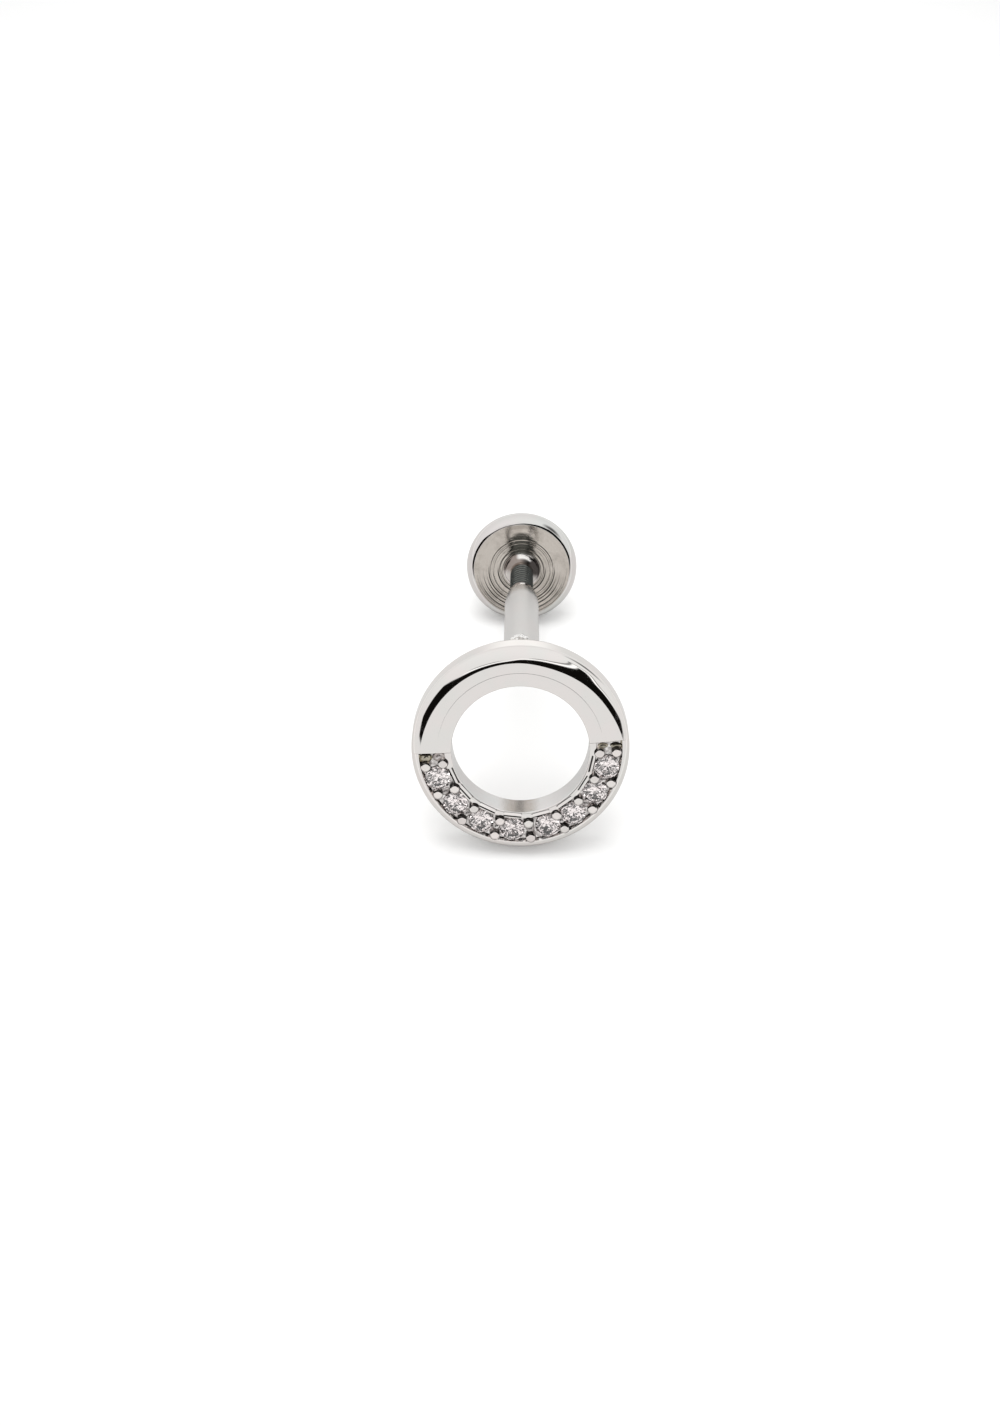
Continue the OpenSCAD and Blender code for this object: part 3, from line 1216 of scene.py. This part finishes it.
    def _scoops(self, degrees: float, share: float, finishes: Sequence[Finish]) -> list[bpy.types.Object]:
        """Tools for the two scooped dents at one end of the setting.

        Args:
            degrees: angle of the dents on the circle.
            share: their length and depth, as a share of the full size.
            finishes: finish of the inner dent and then of the outer one.

        Returns:
            The two tools.
        """
        radii = (self.inner_wall_r + self.scoop_inset[0], self.outer_wall_r - self.scoop_inset[1])
        size = np.multiply(self.scoop_size, (1.0, share, share))
        dents = [self._dent(radius, degrees, size, self.scoop_z) for radius in radii]
        return [self.shop.rough_out("scoop_tool", [dent], finish) for dent, finish in zip(dents, finishes)]

    def _graver_dents(self) -> list[Shell]:
        """Shapes the dents that the graver left between neighbouring stones, darkened by random patches and
        by painted shade in their depths.

        Returns:
            The space that each dent takes.
        """
        s = self.sizes
        gaps = [(s.stone_angle(i) + s.stone_angle(i + 1)) / 2 for i in range(len(s.slips) - 1)]
        floor = -s.floor_cut
        return [self._dent(s.stone_ring_r, degrees, self.graver_size, floor) for degrees in gaps]

    def _punch_rings(self) -> list[Shell]:
        """Shapes the round hollows that the beading punch sank, each a little wider than its bead.

        Returns:
            The space that each hollow takes.
        """
        r = self.sizes.bead_d / 2 + self.punch_ring
        foot, top = -self.punch_depth, self.tool_top
        profile = [(CORE_R, foot), (r - self.punch_bevel, foot), (r, 0.0), (r, top), (CORE_R, top)]
        centres = [polar(radius, degrees) for radius, degrees in self.inner_beads + self.outer_beads]
        return [Shell.turned(profile, (c[0], c[1] + self.punch_lift), 40) for c in centres]

    def _bars(
        self, outlines: Callable[[float, float], Sequence[Sequence[Point]]], spare: float
    ) -> list[Shell]:
        """Straight bars that lie beside the stones, one or more for each bright cut.

        Args:
            outlines: gives the bars' outlines in radius and height, from the radii where the cut starts
                and ends.
            spare: how far each bar runs on past both ends of its cut.

        Returns:
            The closed shells.
        """
        half = self.bright_cut_w / 2 + spare
        across = self.bright_cut_depth / math.tan(math.radians(self.bright_cut_slope))
        shells = []
        for near, degrees in self.bright_cuts:
            turn = Matrix.Rotation(math.radians(degrees), 3, "Z")
            for outline in outlines(near, near + across):
                rings = [[turn @ Vector((r, side, z)) for r, z in outline] for side in (-half, half)]
                shells.append(Shell.lofted(np.array(rings)))
        return shells

    def _bright_cuts(self) -> list[Shell]:
        """Straight cuts that brighten the inner wall beside each stone, rising towards the stone."""
        deep = self.bright_cut_depth
        return self._bars(lambda near, far: [[(near, -deep), (far, 0.0), (far, 0.4), (near, 0.4)]], 0.0)

    def _scores(self) -> list[Shell]:
        """Scored lines along both edges of each bright cut, where the graver entered and left, painted
        nearly black as shade.

        Returns:
            The space that each line takes.
        """
        deep, wide, lap, top = self.bright_cut_depth + 0.005, self.score_w, 0.004, 0.2

        def pair(near: float, far: float) -> list[list[Point]]:
            """Outlines of the two lines of one cut."""
            first = [(near - wide, 0.0), (near, -deep), (near + lap, top), (near - wide, top)]
            return [first, [(far - lap, 0.0), (far + wide, -deep), (far + wide, top), (far - lap, top)]]

        return self._bars(pair, 0.02)

    def set_half(self) -> None:
        """Builds the half that holds the stones, cut tool by tool."""
        s = self.sizes
        section = self.set_section()
        angles = np.linspace(s.setting_start, s.setting_stop, self.set_steps)
        blank = self.shop.rough_out("set_half", [self._swept((a, section) for a in angles)], self.polish)
        self.shop.refinish(blank, self.honed, self._in_opening)
        self.shop.refinish(blank, self.cut_floor, self._on_cut_floor)
        tools = [
            self.shop.rough_out("bright_cut_tool", self._bright_cuts(), self.bright),
            self.shop.rough_out("score_tool", self._scores(), self.shade),
            *self._scoops(s.setting_start + self.scoop_turn, 1.0, (self.cut_floor, self.scoop)),
            *self._scoops(s.setting_stop - self.scoop_turn, 0.7, (self.dark_scoop, self.dark_scoop)),
            self.shop.rough_out("graver_tool", self._graver_dents(), self.cut_floor),
            self.shop.rough_out("punch_tool", self._punch_rings(), self.seat),
            self.shop.rough_out("seat_tool", self._seats(), self.seat),
        ]
        self.shop.carve(blank, tools)
        self.shop.lay_out(blank, Body.ROOT, Slot.POLISHED, ["hoop_and_post"])

    def holding_beads(self) -> None:
        """Builds the eighteen beads that hold the stones, each raised and flattened by a cupped punch."""
        hands = random.Random(7)
        deep = self.punch_depth + 0.01
        shells = []
        for radius, degrees in self.inner_beads + self.outer_beads:
            wide = self.sizes.bead_d / 2 * hands.uniform(0.94, 1.02)
            top = self.bead_top * hands.uniform(0.75, 1.0)
            rim = wide - self.bead_edge_r
            dome = [
                (r, top - self.bead_fall * max(r / wide - self.bead_flat, 0.0) ** 2)
                for r in np.linspace(0.01, rim, 16)
            ]
            dome += arc((rim, dome[-1][1] - self.bead_edge_r), self.bead_edge_r, 72, 0, 7)
            stem = [(wide * 0.99, -deep), (CORE_R, -deep)]
            c = polar(radius, degrees)
            shell = Shell.turned(dome + stem, (c[0], c[1]), 40)
            # Each top leans a little, mostly towards six o'clock
            lean = (hands.uniform(-0.05, 0.05), hands.uniform(0.0, 0.06))
            shell.points[:, 2] += (shell.points[:, :2] - c[:2]) @ lean
            shells.append(shell)
        piece = self.shop.rough_out("holding_beads", shells, self.bead_polish)
        # The sides are cut gold low down, and painted shade, nearly black, just under the burnished top
        for finish, above in ((self.seat, -deep), (self.shade, self.bead_shade_z)):
            self.shop.refinish(
                piece,
                finish,
                lambda at, normal, above=above: abs(normal.z) < self.bead_level and at.z > above,
            )
        self.shop.lay_out(piece, Body.ROOT, Slot.POLISHED, ["hoop_and_post"], sharp=50.0)

    def build(self) -> None:
        """Builds and dresses every piece of the circle."""
        self.polished_half()
        self.set_half()
        self.holding_beads()


@dataclass
class StoneRow:
    """The eight round brilliants in the lower half."""

    shop: Workshop
    crown_h: float = 0.15
    pavilion_h: float = 0.43
    table_r: float = 0.56
    star_r: float = 0.8
    lower_r: float = 0.3
    finish: CutStone = CutStone("round_brilliant")

    def brilliant(self, d: float) -> Shell:
        """Round cut: table, stars, kites, upper girdle facets, girdle, lower girdle facets and mains.

        Args:
            d: diameter in millimetres.

        Returns:
            The closed stone, girdle at height 0.
        """
        r, half = d / 2, math.cos(math.radians(22.5))
        crown, foot, deep = self.crown_h * d, -self.shop.sizes.girdle_h * d, -self.pavilion_h * d
        star_z = crown * (1 - self.star_r * half) / (1 - self.table_r)
        lower_z = foot + deep * (1 - self.lower_r * half)
        levels = (
            (8, self.table_r * r, crown, 0.0),
            (8, self.star_r * r, star_z, 22.5),
            (16, r, 0.0, 0.0),
            (16, r, foot, 0.0),
            (8, self.lower_r * r, lower_z, 22.5),
        )
        points = [polar(rad, a0 + 360 * k / n, z) for n, rad, z, a0 in levels for k in range(n)]
        points.append(np.array([0.0, 0.0, foot + deep]))
        faces: list[tuple[int, ...]] = [tuple(range(8))]
        for k in range(8):
            n, p = (k + 1) % 8, (k + 7) % 8
            even, odd, beyond = 2 * k, 2 * k + 1, (2 * k + 2) % 16
            faces += [
                (k, 8 + k, n),
                (8 + p, 16 + even, 8 + k, k),
                (8 + k, 16 + even, 16 + odd),
                (8 + k, 16 + odd, 16 + beyond),
                (32 + even, 48 + k, 32 + odd),
                (32 + odd, 48 + k, 32 + beyond),
                (32 + even, 48 + p, 56, 48 + k),
            ]
        faces += [(16 + k, 32 + k, 32 + (k + 1) % 16, 16 + (k + 1) % 16) for k in range(16)]
        shell = Shell(np.array(points), faces)
        if shell.volume() < 0:
            shell.faces = [face[::-1] for face in faces]
        return shell

    def build(self) -> None:
        """Cuts every stone and sets it in its seat."""
        s = self.shop.sizes
        for i, turn in enumerate(s.turns):
            shell = self.brilliant(s.stone_d)
            spin = np.array(Matrix.Rotation(math.radians(turn), 3, "Z"))
            shell.points = shell.points @ spin.T
            shell.points += polar(s.stone_ring_r, s.stone_angle(i), s.girdle_z)
            piece = self.shop.rough_out(f"brilliant_{i + 1}", [shell], self.finish)
            self.shop.lay_out(piece, Body.ROOT, Slot.STONE, [f"stone_{i + 1}"], sharp=1.0)


@dataclass
class Post:
    """The hollow post and the solder that joins it to the circle."""

    shop: Workshop
    root: float = 0.4
    bore_r: float = 0.435
    bore_rest: float = 0.3
    mouth_r: float = 0.02
    nose_slope: float = 11.2
    steps: int = 144
    run: SolderMetal = SolderMetal("run_solder")
    # Lumps of solder: X, height above the tube's top line, depth behind the circle's back, and radius
    lumps: tuple[tuple[float, float, float, float], ...] = (
        (-0.26, -0.05, 0.04, 0.1),
        (-0.15, -0.02, 0.06, 0.12),
        (0.0, -0.01, 0.08, 0.13),
        (0.13, -0.025, 0.05, 0.1),
        (-0.06, 0.0, 0.2, 0.08),
    )

    def tube(self) -> None:
        """Builds the tube with its bullet-shaped open end and its bore."""
        s = self.shop.sizes
        outer, nose = s.tube_d / 2, s.nose_d / 2
        # The nose is a straight cone with a big soft rounding where it meets the tube
        tilt = math.radians(self.nose_slope)
        end, lip = s.tube_end_z, self.mouth_r
        cone = lip * (1 - math.cos(tilt)) / math.tan(tilt) + (outer - nose) / math.tan(tilt)
        soften = (s.nose_len - cone) / math.tan(tilt / 2)
        bottom = end + s.tube_len - self.bore_rest
        profile = [(CORE_R, bottom), (self.bore_r, bottom)]
        profile += between((self.bore_r, bottom - 0.02), (self.bore_r, end + lip + 0.01), 12)
        profile += arc((self.bore_r + lip, end + lip), lip, 180, 270, 5)
        profile += arc((nose - lip, end + lip), lip, 270, 360 - self.nose_slope, 8)
        profile += arc((outer - soften, end + s.nose_len), soften, -self.nose_slope, 0, 24)
        profile += between((outer, end + s.nose_len + 0.05), (outer, self.root - s.hoop_t), 12)
        profile.append((CORE_R, self.root - s.hoop_t))
        shell = Shell.turned(profile, (0.0, s.post_y), self.steps)
        piece = self.shop.rough_out("post_tube", [shell], TubeGold("satin_tube_gold", end, s.post_y))
        self.shop.lay_out(piece, Body.ROOT, Slot.POLISHED, ["hoop_and_post"], sharp=40.0)

    def solder(self) -> None:
        """Builds the run of solder on top of the joint from uneven lumps."""
        s = self.shop.sizes
        shells = []
        for x, rise, behind, radius in self.lumps:
            centre = Vector((x, s.post_y + s.tube_d / 2 + rise, -s.hoop_t - behind))
            shell = Shell.turned(ball(24, 0.04), (0.0, 0.0), 36)
            lumpy = []
            for point in shell.points:
                out = Vector(point)
                wave = noise.noise((centre + out * radius) * 9.0) * 0.35
                wave += noise.noise((centre + out * radius) * 22.0) * 0.16
                lumpy.append(centre + out * radius * (1.0 + wave))
            shells.append(Shell(np.array(lumpy), shell.faces))
        piece = self.shop.rough_out("solder_run", shells, self.run)
        self.shop.lay_out(piece, Body.ROOT, Slot.POLISHED, ["hoop_and_post"], sharp=60.0)

    def build(self) -> None:
        """Builds and dresses the post and its solder."""
        self.tube()
        self.solder()


@dataclass
class ScrewBack:
    """The disc with its turned face and rounded edge, and the threaded pin."""

    shop: Workshop
    flare_r: float = 0.34
    stub: float = 0.6
    thread_depth: float = 0.09
    thread_runout: float = 0.3
    tip_cut: float = 0.2
    tip_taper: Point = (0.25, 0.12)
    border_r: float = 0.4
    dish_drop: float = 0.008
    ring_pitch: float = 0.1
    ring_slope: float = 5.6
    calm_r: float = 1.25
    rows_per_turn: int = 12
    pin_steps: int = 96
    disc_steps: int = 240
    bevel: Point = (2.0, 16.0)
    bevel_lap: float = 0.008
    edge_polish: PolishedGold = PolishedGold(
        "polished_disc_edge", (0.8, 0.765, 0.75), (0.77, 0.775, 0.75), rough=0.05
    )

    def _ring_cuts(self, inner: float, outer: float) -> list[Point]:
        """Radius and depth along the face's turned rings, from the rim inwards.

        Args:
            inner: radius where the rings stop, at the flare.
            outer: radius where they start, at the rim.

        Returns:
            Pairs of radius and depth, closely spaced.
        """
        feed = random.Random(11)
        slope = math.tan(math.radians(self.ring_slope)) / math.pi
        cuts, radius = [], outer
        while radius > inner:
            pitch = self.ring_pitch * feed.uniform(0.55, 1.3) * (1.0 if radius < self.calm_r else 1.35)
            depth = pitch * slope * feed.uniform(0.15, 1.0)
            for share in np.linspace(0.0, 1.0, 9)[:-1]:
                cuts.append((radius - pitch * share, depth * math.sin(math.pi * share) ** 2))
            radius -= pitch
        return [cut for cut in cuts if cut[0] > inner]

    def _cut_rings(self, shell: Shell, cuts: Sequence[Point]) -> None:
        """Sinks the rings into the face: all round near the pin, and only low down farther out.

        Args:
            shell: the disc, changed in place.
            cuts: pairs of radius and depth, from the rim inwards.
        """
        s = self.shop.sizes
        radii, depths = zip(*reversed(cuts))
        x, y = shell.points[:, 0], shell.points[:, 1] - s.post_y
        radius = np.hypot(x, y)
        low_down = np.clip(0.4 - 0.9 * y / np.maximum(radius, 0.01), 0.08, 0.88)
        calm = np.clip((radius - self.calm_r) / 0.08 + 0.5, 0.0, 1.0)
        strength = 1.0 - calm * (1.0 - low_down)
        ringed = (radius > radii[0] - 1e-6) & (radius < radii[-1] + 1e-6)
        face = ringed & (shell.points[:, 2] > s.disc_z - 0.05)
        shell.points[:, 2] -= np.where(face, np.interp(radius, radii, depths) * strength, 0.0)

    def disc(self) -> None:
        """Builds the disc: plain back, polished rounded edge, ringed face and the flare of the pin."""
        s = self.shop.sizes
        edge, border = s.disc_edge_r, self.border_r
        centre = (s.disc_d / 2 - edge, -s.disc_t / 2)
        tip = math.degrees(math.asin(s.disc_t / 2 / edge))
        # A soft bevel leads from the flat face to the crisp edge of the disc's big rounding
        first, last = self.bevel
        sine, cosine = math.sin(math.radians(first)), math.cos(math.radians(first))
        flat_r = s.disc_face_r - border * (math.sin(math.radians(last)) - sine) + self.bevel_lap
        bevel = arc((flat_r - border * sine, -border * cosine), border, 90 - last, 90 - first, 12)
        meet = math.degrees(math.asin((bevel[0][1] + s.disc_t / 2) / edge))
        root, low = s.thread_d / 2 - self.thread_depth, -self.dish_drop
        flare_out = root + self.flare_r
        cuts = self._ring_cuts(flare_out + 0.04, flat_r - 0.01)
        profile = [(CORE_R, -s.disc_t)]
        profile += between((0.1, -s.disc_t), (s.disc_face_r - 0.02, -s.disc_t), 24)
        profile += arc(centre, edge, -tip, meet - 0.8, 60)
        profile += bevel
        profile += [(at, low * (1 - ease(1.0, flat_r, at))) for at, _ in cuts]
        profile += [(flare_out + 0.03, low), (flare_out + 0.01, low)]
        profile += arc((flare_out, self.flare_r + low), self.flare_r, 268, 182, 24)
        profile += [(root - 0.004, self.flare_r + 0.03), (root - 0.006, self.stub), (CORE_R, self.stub)]
        shell = Shell.turned(profile, (0.0, s.post_y), self.disc_steps, s.disc_z)
        self._cut_rings(shell, cuts)

        def reach(at: Vector) -> float:
            """Distance of a place from the pin's axis."""
            return math.hypot(at.x, at.y - s.post_y)

        piece = self.shop.rough_out("turned_disc", [shell], TurnedMetal("turned_face", s.post_y))
        self.shop.refinish(
            piece, self.edge_polish, lambda at, _: reach(at) > flat_r - 0.002 or at.z < s.disc_z - 0.1
        )
        self.shop.refinish(
            piece,
            FlareMetal("flare_metal", s.post_y),
            lambda at, _: reach(at) < flare_out and at.z > s.disc_z - 0.02,
        )
        self.shop.lay_out(piece, Body.BACK, Slot.TURNED, ["screw_back"], sharp=28.0)

    def pin(self) -> None:
        """Builds the pin with its right-hand thread, which runs out at both ends."""
        s = self.shop.sizes
        crest, pitch = s.thread_d / 2, s.thread_pitch
        runout, (taper_length, taper_depth) = self.thread_runout, self.tip_taper
        low, high = self.flare_r * 0.75, s.pin_shown + s.pin_hidden - self.tip_cut
        heights = np.linspace(low, high, int((high - low) / pitch * self.rows_per_turn))
        turns = np.linspace(0.0, 2 * math.pi, self.pin_steps, endpoint=False)
        rings = np.empty((len(heights), self.pin_steps, 3))
        for i, height in enumerate(heights):
            fade = ease(low, low + runout, height) * (1 - ease(high - runout, high, height))
            taper = taper_depth * ease(high - taper_length, high, height)
            along = (height / pitch - turns / (2 * math.pi)) % 1.0
            ridge = np.clip(1.5 - np.abs(along - 0.5) * 4.0, 0.0, 1.0)
            ridge = ridge * ridge * (3 - 2 * ridge)
            radius = crest - self.thread_depth * (1 - ridge * fade) - taper
            rings[i, :, 0] = radius * np.cos(turns)
            rings[i, :, 1] = s.post_y + radius * np.sin(turns)
            rings[i, :, 2] = s.disc_z + height
        finish = ThreadMetal("cut_thread", s.post_y)
        piece = self.shop.rough_out("threaded_pin", [Shell.lofted(rings)], finish)
        self.shop.lay_out(piece, Body.BACK, Slot.TURNED, ["screw_back"], sharp=60.0)

    def build(self) -> None:
        """Builds and dresses the disc and the pin."""
        self.disc()
        self.pin()


@dataclass
class Studio:
    """Pale floor, white tent with one dark gap in front, a soft overhead lamp and the camera."""

    bench: Bench
    floor_half: float = 0.45
    tent: float = 0.86
    tent_top: float = 0.95
    floor_glow: float = 0.95
    dark: Colour = (0.005, 0.0045, 0.004)
    gap_left: float = -36.5
    gap_right: float = 31.0
    gap_foot: float = 10.5
    gap_foot_fall: float = 0.5
    gap_foot_least: float = 2.9
    gap_foot_curve: Point = (0.0042, 0.0048)
    gap_foot_slope: Point = (0.35, 0.06)
    gap_top: float = 25.0
    gap_top_slope: float = 0.38
    gap_top_rise: Point = (2.5, 5.5)
    gap_bulge: float = 13.0
    seam_glow: float = 1.3
    stand_at: Point = (104.0, 41.0)
    sparkle_scale: float = 3.2
    sparkle_dark: float = 0.05
    sparkle_light: float = 1.28
    lamp_power: float = 0.042
    lamp_size: float = 0.08
    lamp_place: tuple[float, float, float] = (-0.005, 0.024, 0.095)
    eye: tuple[float, float, float] = (-0.000312, -0.048547, 0.058440)
    look: tuple[float, float, float] = (-0.00555, 0.63702, -0.77083)
    crown: tuple[float, float, float] = (-0.01208, 0.77073, 0.63704)
    lens: float = 52.65

    def _gap(self, azimuth: Wire, height: Wire) -> tuple[Wire, Wire]:
        """Draws the dark gap: level at its foot, a top that climbs to the right, a bulge at the far right.

        Args:
            azimuth: direction of the ray round the studio, in degrees to the right of the front.
            height: its height above the horizon in degrees.

        Returns:
            The gap's mask, and how far outside its top and sides the ray goes, in degrees.
        """
        rightward, far_left = azimuth.most(0.0), (-azimuth - 26.0).most(0.0)
        left_rise = (1.0 - azimuth.soft_step(-30.0, -16.0)) * self.gap_top_rise[0]
        right_rise = azimuth.soft_step(-4.0, 1.0) * self.gap_top_rise[1]
        top = left_rise + right_rise + rightward * self.gap_top_slope + self.gap_top
        right = height.soft_step(26.0, 44.0) * self.gap_bulge + self.gap_right
        beyond = (height - top).most(self.gap_left - azimuth).most(azimuth - right)
        sides = azimuth * azimuth * self.gap_foot_curve[0] + self.gap_foot_least
        sides += rightward * (rightward * self.gap_foot_curve[1] + self.gap_foot_slope[1])
        sides += far_left * self.gap_foot_slope[0]
        foot = (self.gap_foot - azimuth.size() * self.gap_foot_fall).most(sides)
        return (1.0 - beyond.soft_step(-1.0, 1.0)) * (height - foot).soft_step(-0.4, 0.4), beyond

    def _trim(self, azimuth: Wire, height: Wire, beyond: Wire) -> tuple[Wire, Wire]:
        """Draws a bright seam over the gap, and the thin dark edge of a frame outside the seam.

        Args:
            azimuth: direction of the ray in degrees.
            height: its height in degrees.
            beyond: how far outside the gap it goes.

        Returns:
            Masks of the seam and of the edge.
        """
        seam = beyond.soft_step(0.3, 1.2) * (1.0 - beyond.soft_step(2.8, 4.0))
        seam = seam * azimuth.soft_step(-24.0, -14.0) * height.soft_step(16.0, 24.0)
        edge = beyond.soft_step(3.8, 4.8) * (1.0 - beyond.soft_step(5.8, 7.0))
        edge = edge * height.soft_step(18.0, 26.0)
        left = azimuth.soft_step(-22.0, -14.0) * (1.0 - azimuth.soft_step(-9.0, -4.0))
        return seam, edge * (azimuth.soft_step(4.0, 9.0) + left)

    def _stand(self, azimuth: Wire, height: Wire) -> Wire:
        """Draws a dark stand high up at the right, with soft sides.

        Args:
            azimuth: direction of the ray in degrees.
            height: its height in degrees.

        Returns:
            The stand's mask.
        """
        aside = (azimuth - self.stand_at[0]).size().soft_step(8.0, 34.0)
        above = (height - self.stand_at[1]).size().soft_step(3.0, 20.0)
        return 1.0 - (aside + above).least(1.0)

    def world(self) -> None:
        """Hangs the white tent, which reflections see with the dark gap and matt surfaces see plain."""
        made = bpy.data.worlds.new("white_tent")
        bpy.context.scene.world = made
        made.use_nodes = True
        graph = Graph(made.node_tree)
        way = graph.wire("ShaderNodeTexCoord", output="Generated")
        x, y, z = way.parts()
        turn = graph.wire("ShaderNodeMath", {"operation": "ARCTAN2"}, {0: x, 1: -y})
        rise = graph.wire("ShaderNodeMath", {"operation": "ARCSINE"}, {0: z})
        azimuth, height = turn * math.degrees(1.0), rise * math.degrees(1.0)
        gap, beyond = self._gap(azimuth, height)
        seam, edge = self._trim(azimuth, height, beyond)
        tent = graph.blend(height.soft_step(0.0, 70.0), (self.tent,) * 3, (self.tent_top,) * 3)
        lined = graph.blend(seam, tent, (self.seam_glow,) * 3)
        shade = gap.most(edge * 0.7).most(self._stand(azimuth, height) * 0.85)
        seen = graph.blend(shade, lined, self.dark)
        path = graph.node("ShaderNodeLightPath")
        matt, eye, through = (
            Wire(graph, path.outputs[f"Is {kind} Ray"]) for kind in ("Diffuse", "Camera", "Transmission")
        )
        colour = graph.blend(matt.most(eye), seen, (self.floor_glow,) * 3)
        # Through the facets the room breaks up into many small lights and darks
        cells = graph.grain(way, self.sparkle_scale, 1.0, 0.5).soft_step(0.44, 0.57)
        glints = graph.blend(cells, (self.sparkle_dark,) * 3, (self.sparkle_light,) * 3)
        colour = graph.blend(through, colour, glints)
        back = graph.wire("ShaderNodeBackground", {}, {"Color": colour, "Strength": 1.0})
        graph.node("ShaderNodeOutputWorld", {}, {"Surface": back})

    def floor(self) -> None:
        """Lays the plain pale floor."""
        half = self.floor_half
        mesh = bpy.data.meshes.new("floor")
        corners = [(-half, -half, 0.0), (half, -half, 0.0), (half, half, 0.0), (-half, half, 0.0)]
        mesh.from_pydata(corners, [], [(0, 1, 2, 3)])
        mesh.materials.append(PaleFloor("pale_floor").material(self.bench))
        sheet = bpy.data.objects.new("floor", mesh)
        bpy.context.scene.collection.objects.link(sheet)

    def lamp(self) -> None:
        """Hangs the soft lamp above and a little behind, which reflections don't see."""
        made = bpy.data.lights.new("soft_lamp", "AREA")
        made.shape = "DISK"
        made.size = self.lamp_size
        made.energy = self.lamp_power
        lamp = bpy.data.objects.new("soft_lamp", made)
        lamp.location = self.lamp_place
        lamp.rotation_euler = (-Vector(self.lamp_place)).to_track_quat("-Z", "Y").to_euler()
        lamp.visible_glossy = False
        bpy.context.scene.collection.objects.link(lamp)

    def camera(self) -> None:
        """Sets up the camera where the photograph's stood."""
        made = bpy.data.cameras.new("camera")
        made.lens = self.lens
        made.sensor_fit = "AUTO"
        made.sensor_width = 36.0
        made.clip_start, made.clip_end = 0.002, 2.0
        look = Vector(self.look).normalized()
        side = look.cross(Vector(self.crown)).normalized()
        up = side.cross(look)
        placed = Matrix((side, up, -look)).transposed().to_4x4()
        placed.translation = Vector(self.eye)
        camera = bpy.data.objects.new("camera", made)
        camera.matrix_world = placed
        bpy.context.scene.collection.objects.link(camera)
        bpy.context.scene.camera = camera

    def build(self) -> None:
        """Sets up the whole studio."""
        bpy.context.scene.view_settings.view_transform = "Standard"
        self.world()
        self.floor()
        self.lamp()
        self.camera()


def main() -> None:
    """Builds the studio and every piece in order."""
    logging.basicConfig(level=logging.INFO, format="%(name)s: %(message)s", stream=sys.stdout)
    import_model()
    sizes = StudSizes()
    bench = Bench(sizes)
    shop = Workshop(sizes, bench)
    Studio(bench).build()
    parts: tuple[Callable[[], None], ...] = (
        OpenCircle(shop).build,
        StoneRow(shop).build,
        Post(shop).build,
        ScrewBack(shop).build,
    )
    for build in parts:
        build()
    LOG.info("%d pieces made", len(shop.made))


if __name__ == "__main__":
    main()
